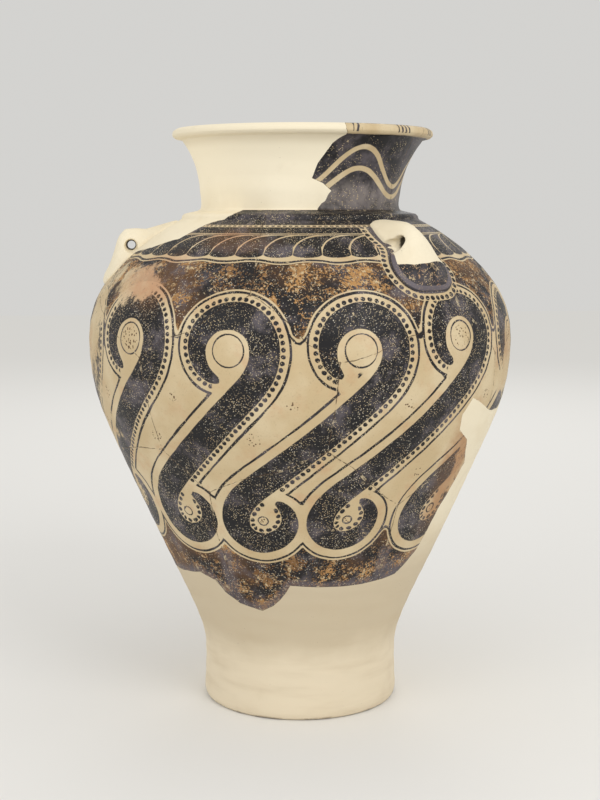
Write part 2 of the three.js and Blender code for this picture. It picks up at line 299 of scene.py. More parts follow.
def make_floor():
    bpy.ops.mesh.primitive_plane_add(size=FLOOR_SIZE)
    floor = bpy.context.object
    floor.name = "floor"
    material = bpy.data.materials.new("floor")
    material.use_nodes = True
    tree = material.node_tree
    tree.nodes.clear()
    shader = tree.nodes.new("ShaderNodeBsdfDiffuse")
    shader.inputs["Color"].default_value = (*linear(FLOOR_TONE), 1)
    out = tree.nodes.new("ShaderNodeOutputMaterial")
    tree.links.new(shader.outputs[0], out.inputs[0])
    floor.data.materials.append(material)


def make_sky():
    world = bpy.data.worlds.new("sky")
    bpy.context.scene.world = world
    world.use_nodes = True
    tree = world.node_tree
    tree.nodes.clear()
    light = tree.nodes.new("ShaderNodeBackground")
    light.inputs["Color"].default_value = (1, 0.99, 0.97, 1)
    light.inputs["Strength"].default_value = SKY_LEVEL
    backdrop = tree.nodes.new("ShaderNodeBackground")
    backdrop.inputs["Color"].default_value = (*linear(FLOOR_TONE), 1)
    backdrop.inputs["Strength"].default_value = SKY_LEVEL
    mix = tree.nodes.new("ShaderNodeMixShader")
    out = tree.nodes.new("ShaderNodeOutputWorld")
    tree.links.new(seen_share(tree), mix.inputs[0])
    tree.links.new(light.outputs[0], mix.inputs[1])
    tree.links.new(backdrop.outputs[0], mix.inputs[2])
    tree.links.new(mix.outputs[0], out.inputs[0])


def add_lamp(name, azimuth, distance, height, size, watts):
    data = bpy.data.lights.new(name, "AREA")
    data.shape = "DISK"
    data.size = size
    data.energy = watts
    lamp = bpy.data.objects.new(name, data)
    turn = math.radians(azimuth)
    lamp.location = (distance * math.sin(turn), -distance * math.cos(turn), height)
    lamp.rotation_euler = (LAMP_AIM - lamp.location).to_track_quat("-Z", "Y").to_euler()
    bpy.context.scene.collection.objects.link(lamp)


make_floor()
make_sky()
for name, lamp in LAMPS.items():
    add_lamp(name, **lamp)
print("lamps:", len(LAMPS))

# %% [markdown]
# The wall of the jar is one section turned round the axis. The solids follow it in straight steps, as a
# few long chords of the real curve. Here the same few points give the section twice: as the chords that
# the solids have, and as the smooth, soft-edged line that the clay has. Every surface is later moved
# from the one to the other.

# %% The section of the jar
WALL = 11.0
NECK_WALL = 10.0
FLOOR_THICKNESS = 17.0
HEIGHT = 740.0
BODY_POINTS = [
    (126, 4), (127.6, 15), (126.2, 52), (129.3, 89), (145.5, 133), (172.7, 192), (199.9, 252),
    (226.1, 311), (251.6, 370), (267.2, 418), (272.8, 472), (266.9, 515), (249.5, 548), (224.1, 577),
    (190, 605), (153, 627),
]
FOOT_EDGE = [(0, 0), (121.5, 0), (124.6, 1.2)]
COLLAR = [(152.2, 631), (148.6, 634), (140, 635.8), (131, 637.6)]
NECK_POINTS = [
    (128.2, 640), (127.4, 646), (128.5, 659), (132.3, 681), (137.2, 696), (143.6, 710), (154.4, 726.5),
]
LIP = [(163.5, 728.2), (167, 731.6), (166.4, 737), (161.5, HEIGHT)]
LIP_TOP = (157, HEIGHT)
LIP_INSIDE = [(148, 735.5), (152.5, HEIGHT)]
BODY_CHORDS, BODY_CHORDS_INSIDE = 21, 11
NECK_CHORDS, NECK_CHORDS_INSIDE = 6, 4


def curve_point(points, t):
    """A point on the smooth curve through all the points, with t from 0 to their last number."""
    last = len(points) - 1
    i = min(int(t), last - 1)
    w = t - i
    before, here, there, after = (np.array(points[min(max(i + k, 0), last)], float) for k in (-1, 0, 1, 2))
    out, back = (there - before) / 2, (after - here) / 2
    twist = 2 * here - 2 * there + out + back
    bend = 3 * there - 3 * here - 2 * out - back
    return twist * w ** 3 + bend * w ** 2 + out * w + here


def chords(points, count):
    return [tuple(curve_point(points, (len(points) - 1) * k / count)) for k in range(count + 1)]


body_outside = chords(BODY_POINTS, BODY_CHORDS)
neck_outside = chords(NECK_POINTS, NECK_CHORDS)
print("greatest radius of the chords:", round(max(radius for radius, _ in body_outside), 1), "mm")

# %% [markdown]
# The inner section lies a wall's thickness inside the outer one, measured square to the wall. Both lines
# are then walked twice at once, along the chords and along the curve, so that each place on the one
# knows its place on the other. The corners are worn round by averaging neighbours again and again, as
# use wears an edge.

# %% Walk along the two sections
NECK_INSIDE_TOP = 728.0
FLOOR_RADIUS = 104.0
FLOOR_ROUNDING = 9.0
SAMPLE = 0.1
EDGE_SOFTENING = 260


def inside_of(line, distance):
    result = []
    for i, (radius, height) in enumerate(line):
        before, after = line[max(i - 1, 0)], line[min(i + 1, len(line) - 1)]
        along = np.array(after) - np.array(before)
        along = along / np.hypot(*along)
        result.append((radius - along[1] * distance, height + along[0] * distance))
    return result


def traced(parts):
    """Chord points and smooth points side by side. A part is its points and whether it is a curve."""
    chord, smooth = [], []
    for points, curved in parts:
        for i in range(len(points) - 1):
            a, b = np.array(points[i], float), np.array(points[i + 1], float)
            steps = max(2, int(np.hypot(*(b - a)) / SAMPLE))
            for k in range(steps):
                chord.append(a + (b - a) * k / steps)
                smooth.append(curve_point(points, i + k / steps) if curved else a + (b - a) * k / steps)
    chord.append(np.array(parts[-1][0][-1], float))
    smooth.append(chord[-1])
    return np.array(chord), np.array(smooth)


def softened(line, passes):
    """The line with its corners worn round. Wear only takes clay away, so the box of the jar never grows."""
    line = line.copy()
    for _ in range(passes):
        line[1:-1] = (line[:-2] + 2 * line[1:-1] + line[2:]) / 4
    return line


body_inside = inside_of(chords(BODY_POINTS, BODY_CHORDS_INSIDE), WALL)
body_inside = [point for point in body_inside if point[1] > FLOOR_THICKNESS + FLOOR_ROUNDING]
neck_inside = inside_of(chords(NECK_POINTS, NECK_CHORDS_INSIDE), NECK_WALL)
neck_inside = [point for point in neck_inside if point[1] < NECK_INSIDE_TOP]
outer_chord, outer_smooth = traced([
    (FOOT_EDGE + body_outside[:1], False), (body_outside, True),
    (body_outside[-1:] + COLLAR + neck_outside[:1], False), (neck_outside, True),
    (neck_outside[-1:] + LIP + [LIP_TOP], False),
])
inner_chord, inner_smooth = traced([
    ([(0, FLOOR_THICKNESS), (FLOOR_RADIUS, FLOOR_THICKNESS)] + body_inside[:1], False),
    (body_inside, True), (body_inside[-1:] + neck_inside[:1], False), (neck_inside, True),
    (neck_inside[-1:] + LIP_INSIDE + [LIP_TOP], False),
])
outer_smooth = softened(outer_smooth, EDGE_SOFTENING)
inner_smooth = softened(inner_smooth, EDGE_SOFTENING)
outer_run = np.concatenate([[0], np.cumsum(np.hypot(*np.diff(outer_smooth, axis=0).T))])
print("length of the wall from the foot's middle to the lip:", round(outer_run[-1]), "mm")

# %% [markdown]
# A thrown and coil-built wall is never quite true. A slow wave of about a millimetre, always inwards,
# and the faint rings of the coils are enough to make the light wander over it as it does over real clay.
# All pieces share the same wave, because they were one pot before it broke. The neck was set on a little
# askew, so it leans a few millimetres. Bump in the material could fake the wave, but then the edge of
# the jar would stay as true as if it were turned.

# %% How the hand-built wall wanders
WANDER = 1.1
WANDER_ROUND, WANDER_RISE = 1.6, 190
RING_RELIEF = 0.16
RING_PITCH = 23.0
LEAN = 3.5
LEAN_TURN = 83.0
LEAN_FROM = 642.0


def lean(height):
    """How far the neck leans sideways at each height, in millimetres along x and y."""
    share = np.clip((height - LEAN_FROM) / (HEIGHT - LEAN_FROM), 0, 1)
    turn = math.radians(LEAN_TURN)
    return np.outer(LEAN * share * share * (3 - 2 * share), [math.sin(turn), -math.cos(turn)])


def wander(azimuth, height):
    """How far the wall lies inside its drawn section, in millimetres, for each azimuth and height."""
    depth = np.empty(len(azimuth))
    for i, (a, z) in enumerate(zip(azimuth, height)):
        place = Vector((WANDER_ROUND * math.sin(a), WANDER_ROUND * math.cos(a), z / WANDER_RISE))
        depth[i] = WANDER * (0.5 + 0.5 * noise.noise(place))
    rings = RING_RELIEF * (1 + np.sin(2 * np.pi * height / RING_PITCH + 1.5 * np.sin(2 * azimuth)))
    return (depth + rings) * np.clip((height - 3) / 25, 0, 1)


belly_wander = wander(np.linspace(0, 6, 60), np.full(60, 470.0))
print("deepest wander at the belly:", round(float(belly_wander.max()), 2), "mm")

# %% [markdown]
# Each sherd and fill is dressed alike. Its solid is copied and cut by a fine grid of level planes and of
# planes through the axis, so that it has corners to move. Then each corner goes from the chord section
# to the smooth one, and the flat facets round the jar are rounded out. The broken sides keep their sharp
# corners, as fired clay does. Cutting by planes is chosen over subdividing, because it gives even quads
# on the long thin faces of the solids.

# %% Grid of cuts
FACETS_ROUND = 36
GRID_TURN = 360 / FACETS_ROUND / 10
GRID_RISE = 4.5
FINE_RISE = 1.5
FINE_BANDS = [(0, 6), (626, 646), (724, HEIGHT)]
CUT_MARGIN = 0.3
OPEN_RING = 20


def level_cuts():
    fine = [z for low, high in FINE_BANDS for z in np.arange(low + FINE_RISE, high, FINE_RISE)]
    coarse = np.arange(GRID_RISE, HEIGHT, GRID_RISE)
    return sorted(fine + [z for z in coarse if not any(low < z < high for low, high in FINE_BANDS)])


def sliced(mesh, planes):
    """The mesh cut by planes, each a point and a normal in metres."""
    bm = bmesh.new()
    bm.from_mesh(mesh)
    bmesh.ops.remove_doubles(bm, verts=bm.verts, dist=1e-6)
    bmesh.ops.dissolve_limit(bm, angle_limit=0.002, verts=bm.verts, edges=bm.edges)
    for point, normal in planes:
        geom = bm.verts[:] + bm.edges[:] + bm.faces[:]
        bmesh.ops.bisect_plane(bm, geom=geom, dist=2e-6, plane_co=point, plane_no=normal)
    return bm


def turns_of(co):
    """The azimuths that a piece spans, from -Y towards +X, as its middle and its half width in degrees."""
    azimuth = np.degrees(np.arctan2(co[:, 0], -co[:, 1]))
    ring = np.sort(azimuth % 360)
    gaps = np.diff(np.concatenate([ring, ring[:1] + 360]))
    widest = int(np.argmax(gaps))
    if gaps[widest] < OPEN_RING:
        return 0.0, 180.0
    start = ring[(widest + 1) % len(ring)]
    span = 360 - gaps[widest]
    return start + span / 2, span / 2


def cut_planes(mesh):
    co = coordinates(mesh)
    low, high = co[:, 2].min(), co[:, 2].max()
    planes = [((0, 0, z * MM), (0, 0, 1)) for z in level_cuts() if low + CUT_MARGIN < z < high - CUT_MARGIN]
    middle, half = turns_of(co)
    whole = half > 90
    for k in range(int(360 / GRID_TURN / (2 if whole else 1))):
        azimuth = k * GRID_TURN
        away = (azimuth - middle + 180) % 360 - 180
        if whole or abs(away) < half:
            turn = math.radians(azimuth)
            planes.append(((0, 0, 0), (math.cos(turn), math.sin(turn), 0)))
    return planes


def coordinates(mesh):
    """The corners of a mesh in millimetres."""
    co = np.empty(len(mesh.vertices) * 3)
    mesh.vertices.foreach_get("co", co)
    return co.reshape(-1, 3) / MM


print("level cuts:", len(level_cuts()), " grid turn:", round(GRID_TURN, 3), "degrees")

# %% [markdown]
# To move a corner, its nearest places on the outer and on the inner chord section are found, and it
# takes a share of each one's move, by how deep it sits in the wall. A k-d tree finds the nearest place
# quickly.

# %% From chords to the thrown form


def tree_of(points):
    tree = kdtree.KDTree(len(points))
    for i, point in enumerate(points):
        tree.insert((*point, 0) if len(point) == 2 else point, i)
    tree.balance()
    return tree


outer_tree = tree_of(outer_chord)
inner_tree = tree_of(inner_chord)
STILL_MIDDLE = 20


def nearest(tree, points):
    found = [tree.find((*point, 0) if len(point) == 2 else point) for point in points]
    return np.array([f[1] for f in found]), np.array([f[2] for f in found])


def thrown(co):
    """Corners in the thrown form, how far each was from both sections, and where along the wall it sits."""
    azimuth = np.arctan2(co[:, 0], -co[:, 1])
    facet = 2 * np.pi / FACETS_ROUND
    off_centre = (azimuth % facet) - facet / 2
    radius = np.hypot(co[:, 0], co[:, 1]) * np.cos(off_centre) / math.cos(facet / 2)
    section = np.stack([radius, co[:, 2]], axis=1)
    out_i, out_d = nearest(outer_tree, section)
    in_i, in_d = nearest(inner_tree, section)
    share = (out_d / np.maximum(out_d + in_d, 1e-6))[:, None]
    move = (1 - share) * (outer_smooth - outer_chord)[out_i] + share * (inner_smooth - inner_chord)[in_i]
    section = section + move
    wandering = section[:, 0] > STILL_MIDDLE
    section[:, 0] = np.maximum(section[:, 0] - wander(azimuth, section[:, 1]) * wandering, 0)
    outwards = np.stack([np.sin(azimuth), -np.cos(azimuth)], axis=1)
    level = section[:, :1] * outwards + lean(section[:, 1])
    return np.hstack([level, section[:, 1:]]), out_d, in_d, outer_run[out_i]


print("points on the two sections:", len(outer_chord), len(inner_chord))

# %% [markdown]
# The faces of a piece are of three kinds. Its outer and inner skins lie on the wall's two sections, and
# whatever lies on neither is a break. Only the breaks are pushed out towards the neighbours and keep
# sharp edges, so each face has to be told apart first. Measuring does that safely, while picking faces
# by hand would have to be done 25 times.

# %% Tell the breaks from the skins
SKIN_DEPTH = 0.12
OUTER, INNER, BROKEN = 0, 1, 2


def face_kinds(mesh, out_d, in_d):
    kinds = np.full(len(mesh.polygons), BROKEN)
    for i, face in enumerate(mesh.polygons):
        corners = list(face.vertices)
        if out_d[corners].max() < SKIN_DEPTH:
            kinds[i] = OUTER
        elif in_d[corners].max() < SKIN_DEPTH:
            kinds[i] = INNER
    return kinds


def widen(mesh, kinds, push):
    """Moves every corner of a broken side outwards from the piece, along the mean normal of those sides."""
    outwards = np.zeros((len(mesh.vertices), 3))
    for i in np.flatnonzero(kinds == BROKEN):
        face = mesh.polygons[i]
        for corner in face.vertices:
            outwards[corner] += np.array(face.normal) * face.area
    length = np.linalg.norm(outwards, axis=1)
    some = length > 0
    co = coordinates(mesh)
    co[some] += push * outwards[some] / length[some, None]
    co[:, 2] = np.clip(co[:, 2], 0, HEIGHT)
    mesh.vertices.foreach_set("co", (co * MM).ravel())


def finish_edges(mesh, kinds):
    """Smooth shading everywhere but along the breaks."""
    mesh.polygons.foreach_set("use_smooth", np.ones(len(mesh.polygons), bool))
    sides = {}
    for i, face in enumerate(mesh.polygons):
        for key in face.edge_keys:
            sides.setdefault(key, set()).add(kinds[i] == BROKEN)
    sharp = np.array([len(sides[edge.key]) > 1 for edge in mesh.edges])
    attribute = mesh.attributes.get("sharp_edge") or mesh.attributes.new("sharp_edge", "BOOLEAN", "EDGE")
    attribute.data.foreach_set("value", sharp)
    mesh.update()


print("a face is skin when its corners lie within", SKIN_DEPTH, "mm of a section")

# %% [markdown]
# Now the 25 pieces of wall are dressed. The gap that the solids leave for glue is closed by pushing the
# broken sides out: a little between two sherds, where a hairline stays, and fully where plaster was
# pressed against clay. Each new mesh rides on the jar's only body and replaces the solid that it was
# made from.

# %% Dress the wall
SHERD_PUSH = 0.17
PLASTER_PUSH = 0.56
HANDLES = ("handle_left", "handle_back", "handle_right", "handle_right_root")
PLASTER_HANDLES = ("handle_left", "handle_right")
wall_names = sorted(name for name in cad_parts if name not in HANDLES)
plaster_names = [name for name in wall_names if name.endswith("fill")]
pieces = {}


def dressed(name, push):
    """A wall piece in its thrown form, with its breaks pushed into the joints."""
    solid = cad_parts[name].data
    bm = sliced(solid, cut_planes(solid))
    mesh = bpy.data.meshes.new(name + "_dressed")
    bm.to_mesh(mesh)
    bm.free()
    co, out_d, in_d, run = thrown(coordinates(mesh))
    mesh.vertices.foreach_set("co", (co * MM).ravel())
    kinds = face_kinds(mesh, out_d, in_d)
    widen(mesh, kinds, push)
    finish_edges(mesh, kinds)
    return mesh, kinds, run


def add_piece(name, mesh, slot):
    piece = bpy.data.objects.new(name + "_skin", mesh)
    bpy.context.scene.collection.objects.link(piece)
    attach(piece, "root")
    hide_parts(name)
    pieces[name] = piece
    return piece


wall_facts = {}
for name in wall_names:
    is_fill = name in plaster_names
    mesh, kinds, run = dressed(name, PLASTER_PUSH if is_fill else SHERD_PUSH)
    add_piece(name, mesh, "plaster_fill" if is_fill else "painted_clay")
    wall_facts[name] = (kinds, run)
print("wall pieces:", len(wall_facts), " faces:", sum(len(pieces[n].data.polygons) for n in wall_facts))

# %% [markdown]
# A handle was pressed onto the leather-hard shoulder and smoothed down with wet fingers, so it has no
# edges at all. Its solid is remeshed into small even cells and then relaxed, which melts its facets as
# the fingers did. Where it met the wall it is first sunk a few millimetres, so that it rises from the
# wall without a gap. Subdivision would keep the pinched corners of the faceted solid, which wet clay
# never has.

# %% Handles
HANDLE_CELL = 1.15
HANDLE_RELAX = 10
HANDLE_SKIRT = 4.0
CONTACT = 1.2
LONG_EDGE = 0.006


def wall_radius(height):
    return np.interp(height, outer_smooth[:, 1], outer_smooth[:, 0])


def wall_slope(height):
    return (wall_radius(height + 3) - wall_radius(height - 3)) / 6


def clay_lump(names):
    """The solids of these nodes together, with what touches the wall sunk into it."""
    bm = bmesh.new()
    for name in names:
        bm.from_mesh(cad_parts[name].data)
    bmesh.ops.remove_doubles(bm, verts=bm.verts, dist=1e-6)
    bmesh.ops.subdivide_edges(bm, edges=[e for e in bm.edges if e.calc_length() > LONG_EDGE], cuts=1)
    mesh = bpy.data.meshes.new(names[0] + "_lump")
    bm.to_mesh(mesh)
    bm.free()
    co = coordinates(mesh)
    section = np.stack([np.hypot(co[:, 0], co[:, 1]), co[:, 2]], axis=1)
    touches = nearest(outer_tree, section)[1] < CONTACT
    azimuth = np.arctan2(co[:, 0], -co[:, 1])
    slope = wall_slope(co[:, 2])
    length = np.hypot(1, slope)
    inward = np.stack([-np.sin(azimuth) / length, np.cos(azimuth) / length, slope / length], axis=1)
    co[touches] += HANDLE_SKIRT * inward[touches]
    mesh.vertices.foreach_set("co", (co * MM).ravel())
    return mesh


def melted(mesh):
    lump = bpy.data.objects.new("lump", mesh)
    bpy.context.scene.collection.objects.link(lump)
    remesh = lump.modifiers.new("cells", "REMESH")
    remesh.mode = "VOXEL"
    remesh.voxel_size = HANDLE_CELL * MM
    relax = lump.modifiers.new("fingers", "SMOOTH")
    relax.factor = 0.5
    relax.iterations = HANDLE_RELAX
    graph = bpy.context.evaluated_depsgraph_get()
    result = bpy.data.meshes.new_from_object(lump.evaluated_get(graph))
    bpy.data.objects.remove(lump)
    result.polygons.foreach_set("use_smooth", np.ones(len(result.polygons), bool))
    return result


for name in ("handle_left", "handle_back"):
    add_piece(name, melted(clay_lump([name])), "plaster_fill" if name in PLASTER_HANDLES else "painted_clay")
    print(name, len(pieces[name].data.polygons), "faces")

# %% [markdown]
# The lower end of the right handle is old painted clay and the rest of it is plaster. Both are melted
# together as one lump and parted afterwards along the break, so that they meet all the way through. The
# break is a bent line on the wall. Each corner is lifted to its distance above that line, the lump is
# cut at zero by a flat plane, and then the corners go back. That cuts along a bent line with a tool that
# only knows flat cuts.

# %% The break of the right handle
ROOT_BREAK = [
    (10, 599), (23.4, 597.5), (25.2, 590), (24.4, 580), (24, 573), (28.5, 568.5), (33, 568.5), (38, 571),
    (48, 574),
]
ROOT_HEIGHT = 580


def above_break(co):
    """How far each corner lies above the break, in millimetres, seen along the wall's normal."""
    azimuth = np.degrees(np.arctan2(co[:, 0], -co[:, 1])) - FRONT_TURN
    radius = np.hypot(co[:, 0], co[:, 1])
    height = co[:, 2].copy()
    for _ in range(6):
        height = (height + co[:, 2] + wall_slope(height) * (radius - wall_radius(height))) / 2
    across = math.radians(1) * wall_radius(ROOT_HEIGHT)
    here = np.stack([azimuth * across, height], axis=1)
    line = np.array(ROOT_BREAK, float) * (across, 1)
    best = np.full(len(co), np.inf)
    above = np.zeros(len(co))
    for a, b in zip(line[:-1], line[1:]):
        length = np.hypot(*(b - a))
        along = (b - a) / length
        step = np.clip((here - a) @ along, 0, length)
        away = here - a - step[:, None] * along
        distance = np.hypot(*away.T)
        side = along[0] * (here - a)[:, 1] - along[1] * (here - a)[:, 0]
        nearer = distance < best - 1e-6
        best = np.where(nearer, distance, best)
        above = np.where(nearer, np.copysign(distance, side), above)
    return above


def parted(mesh, upper):
    """One side of the break of the right handle, with its broken face closed."""
    co = coordinates(mesh)
    above = above_break(co)
    bm = bmesh.new()
    bm.from_mesh(mesh)
    home = bm.verts.layers.float_vector.new("home")
    for vert, depth in zip(bm.verts, above):
        vert[home] = vert.co
        vert.co.z = depth * MM
    geom = bm.verts[:] + bm.edges[:] + bm.faces[:]
    facing = (0, 0, 1 if upper else -1)
    bmesh.ops.bisect_plane(bm, geom=geom, dist=1e-7, plane_co=(0, 0, 0), plane_no=facing, clear_inner=True)
    for vert in bm.verts:
        vert.co = vert[home]
    rim = [edge for edge in bm.edges if edge.is_boundary]
    caps = bmesh.ops.holes_fill(bm, edges=rim, sides=0)["faces"]
    bmesh.ops.triangulate(bm, faces=caps)
    for edge in rim:
        edge.smooth = False
    for face in bm.faces:
        face.smooth = True
    result = bpy.data.meshes.new("parted")
    bm.to_mesh(result)
    bm.free()
    return result


right = melted(clay_lump(["handle_right", "handle_right_root"]))
for name, upper in (("handle_right", True), ("handle_right_root", False)):
    add_piece(name, parted(right, upper), "plaster_fill" if name in PLASTER_HANDLES else "painted_clay")
    print(name, len(pieces[name].data.polygons), "faces")

# %% [markdown]
# The main field is painted with running scrolls, one of the oldest patterns of the Aegean potters. Each
# scroll is a broad S that coils round a reserved disc at either end. The brush went steadily straight,
# then curved more and more, and so the line is built from its curvature: none in the middle, growing to
# that of the coil. The ends taper. The scrolls stand side by side round the jar, each a little
# different, because they were drawn freely.

# %% Scroll lines
SCROLLS = 12
SCROLL_SEED = 5
FIRST_SCROLL = -4.0
FIELD_MIDDLE = 374.0
STRAIGHT = 70.0
EASE = 84.0
BAND_HALF = 17.0
TIP_HALF = 4.5
TAPER = 120.0
UPPER = dict(radius=42.0, turned=1.20, gap=4.5, coil=slice(-150, -10))
LOWER = dict(radius=34.0, turned=1.14, gap=10.0, coil=slice(0, 110))
SAME_COIL = 150
TIGHTENING = 0.18
TILT = 43.0
BEAD_OFF = 3.5
on_wall = outer_smooth[:, 1] > 1


def wall_run(height):
    """The distance along the wall of a height."""
    return np.interp(height, outer_smooth[on_wall, 1], outer_run[on_wall])


def wall_place(azimuth, run):
    """Points of the wall in millimetres, for azimuths in degrees from -Y and distances along the wall."""
    height = np.interp(run, outer_run, outer_smooth[:, 1])
    radius = np.interp(run, outer_run, outer_smooth[:, 0])
    turn = np.radians(azimuth)
    return np.stack([radius * np.sin(turn), -radius * np.cos(turn), height], axis=-1)


def turned_by(x, run):
    """The azimuth that x millimetres along the wall make at that distance up the wall."""
    return np.degrees(x / np.interp(run, outer_run, outer_smooth[:, 0]))


def half_line(radius, turned, straight):
    """Headings along half a scroll, in radians from its middle, one for each millimetre of the brush."""
    along = np.arange(int(straight + EASE + turned * math.pi * radius), dtype=float)
    ease = np.clip((along - straight) / EASE, 0, 1)
    curving = ease * ease * (3 - 2 * ease) / radius
    tighter = 1 + TIGHTENING * np.clip((along - straight - EASE) / (turned * math.pi * radius), 0, 1)
    return np.concatenate([[0], np.cumsum(curving * tighter)[:-1]])


def scroll(rng, azimuth):
    """One scroll: [x, run] along its line, its bend, half widths and bead distances, its discs and mouths."""
    size = rng.uniform(0.95, 1.05)
    straight = STRAIGHT * rng.uniform(0.88, 1.12)
    tilt = math.radians(TILT + rng.uniform(-2.5, 2.5))
    upper = half_line(UPPER["radius"] * size, UPPER["turned"] * rng.uniform(0.96, 1.04), straight)
    lower = half_line(LOWER["radius"] * size, LOWER["turned"] * rng.uniform(0.96, 1.04), straight)
    heading = tilt + np.concatenate([lower[::-1], upper[1:]])
    place = np.cumsum(np.stack([np.cos(heading), np.sin(heading)], axis=1), axis=0)
    place -= place[len(lower) - 1]
    place[:, 1] += wall_run(FIELD_MIDDLE) + rng.uniform(-6, 6)
    tip = np.minimum(np.arange(len(heading)), np.arange(len(heading))[::-1])
    half = TIP_HALF + (BAND_HALF * size - TIP_HALF) * np.clip(tip / TAPER, 0, 1) ** 0.6
    bend = np.gradient(heading)
    beads = np.cumsum(1 + bend * (half + BEAD_OFF))
    discs = [coil_disc(place, heading, bend, half, end["coil"], end["gap"]) for end in (LOWER, UPPER)]
    mouths = [coil_mouth(place, half), coil_mouth(place[::-1], half[::-1])]
    return dict(azimuth=azimuth, place=place, bend=bend, half=half, beads=beads, discs=discs, mouths=mouths)


def coil_mouth(place, half):
    """The middle of the gap between the tip of a coil and the band beside it: [x, run]."""
    later = np.arange(len(place)) > SAME_COIL
    away = np.where(later, np.hypot(*(place - place[0]).T), np.inf)
    beside = int(np.argmin(away))
    towards = (place[beside] - place[0]) / away[beside]
    return place[0] + towards * (away[beside] + half[0] - half[beside]) / 2


def coil_disc(place, heading, bend, half, part, gap):
    """The disc that a coil encloses: [x, run, radius]."""
    left = np.stack([-np.sin(heading), np.cos(heading)], axis=1)
    centre = np.mean((place + left / bend[:, None])[part], axis=0)
    clear = np.min(np.hypot(*(place - centre).T) - half)
    return [*centre, clear - gap]


print("a scroll's straight is about", STRAIGHT, "mm and its band", 2 * BAND_HALF, "mm wide")

# %% [markdown]
# The scrolls are drawn round the jar one by one, each with its own chance in size, tilt and place.
# Between two of them there is sometimes a small rosette of dots, and some discs are stippled. The points
# of all lines then go into search trees, one for the broad and one for the tapering parts of the bands,
# because the nearest line is not always the nearest edge.

# %% Draw the scrolls round the jar
NARROW = 13.0
ROSETTE_PLACES = [(2, 3, 12.5), (49, 50, 9.5), (-46, -43, 8.5)]
ROSETTE_CHANCE = 0.62
ROSETTE_SHIFT = 5.0
PLAIN, STIPPLED, ROSETTE = 0.0, 1.0, 2.0
rng = np.random.default_rng(SCROLL_SEED)
scrolls = [scroll(rng, FIRST_SCROLL + 360 * k / SCROLLS + rng.uniform(-1.2, 1.2)) for k in range(SCROLLS)]

middle = wall_run(FIELD_MIDDLE)
between = math.pi * wall_radius(FIELD_MIDDLE) / SCROLLS
discs, disc_radius, disc_kind, mouths = [], [], [], []
for line in scrolls:
    x, run = line["place"].T
    points = wall_place(line["azimuth"] + turned_by(x, run), run)
    line["points"] = points
    line["left"] = np.cross(points * (1, 1, 0), np.gradient(points, axis=0))
    mouths += [wall_place(line["azimuth"] + turned_by(px, py), py) for px, py in line["mouths"]]
    marks = [(*disc, rng.choice([PLAIN, STIPPLED])) for disc in line["discs"]]
    for px, py, radius in ROSETTE_PLACES:
        if rng.random() < ROSETTE_CHANCE:
            sideways, upwards = rng.uniform(-ROSETTE_SHIFT, ROSETTE_SHIFT, 2)
            radius = radius * rng.uniform(0.8, 1.15)
            marks.append((between + px + sideways, middle + py + upwards, radius, ROSETTE))
    for px, py, radius, kind in marks:
        discs.append(wall_place(line["azimuth"] + turned_by(px, py), py))
        disc_radius.append(radius)
        disc_kind.append(kind)
scroll_points, scroll_left, scroll_half, scroll_beads, scroll_bend = (
    np.concatenate([line[fact] for line in scrolls]) for fact in ("points", "left", "half", "beads", "bend"))
disc_radius, disc_kind = np.array(disc_radius), np.array(disc_kind)
broad = np.flatnonzero(scroll_half >= NARROW)
narrow = np.flatnonzero(scroll_half < NARROW)
broad_tree, narrow_tree = tree_of(scroll_points[broad]), tree_of(scroll_points[narrow])
disc_tree, mouth_tree = tree_of(np.array(discs)), tree_of(np.array(mouths))
print("scrolls:", len(scrolls), " discs and rosettes:", len(discs))
print("the lines lie from", round(scroll_points[:, 2].min()), "to", round(scroll_points[:, 2].max()), "mm")

# %% [markdown]
# A painted band and a string of beads run round the foot of each handle. They follow the outline of its
# solid, so that outline is drawn on the wall once more, as the places where the strap meets it.

# %% Outlines of the handles
HANDLE_AZIMUTHS = {"left": -91, "right": 32, "back": 152}
HANDLE_OUTLINE = [
    (626, 15), (622, 22.5), (615, 25.5), (609, 26), (604, 25), (598.5, 24), (592.5, 26.5), (586.5, 32),
    (581.5, 36.5), (574.5, 41), (566.5, 42), (560.5, 40.5), (553.5, 36.5), (548, 30), (543.5, 20),
]
HANDLE_DRIFTS = {"left": 0, "right": 3.2, "back": -2.2}
HANDLE_RISE = 26
HOLE_HEIGHT = 600.5
HOLE_PLACES = {"left": (216.5, 594.5), "right": (213, 600.5), "back": (213, 600.5)}
# How far the painted shade and dirt of a hole reach and fade, and how much the depth along the hole counts.
HOLE_SHADE_REACH, HOLE_SHADE_FADE, HOLE_DEPTH_SHARE = 11.0, 5, 0.55
LUG_BEAD_OFF = 6.8


def handle_outline(side):
    """Places on the wall round the foot of a handle, a millimetre apart, and the way round to each."""
    height, half = np.array(HANDLE_OUTLINE, float).T
    drift = HANDLE_DRIFTS[side] * np.minimum(np.abs(height - HOLE_HEIGHT) / HANDLE_RISE, 1)
    run = wall_run(height)
    ring = np.concatenate([np.stack([drift + half, run], 1), np.stack([drift - half, run], 1)[::-1]])
    ring = np.concatenate([ring, ring[:1]])
    for _ in range(3):
        first, second = (3 * ring[:-1] + ring[1:]) / 4, (ring[:-1] + 3 * ring[1:]) / 4
        ring = np.concatenate([first, second], axis=1).reshape(-1, 2)
        ring = np.concatenate([ring, ring[:1]])
    length = np.concatenate([[0], np.cumsum(np.hypot(*np.diff(ring, axis=0).T))])
    even = np.arange(0, length[-1], 1.0)
    ring = np.stack([np.interp(even, length, ring[:, 0]), np.interp(even, length, ring[:, 1])], axis=1)
    azimuth = HANDLE_AZIMUTHS[side] + FRONT_TURN + turned_by(ring[:, 0], ring[:, 1])
    return wall_place(azimuth, ring[:, 1]), even


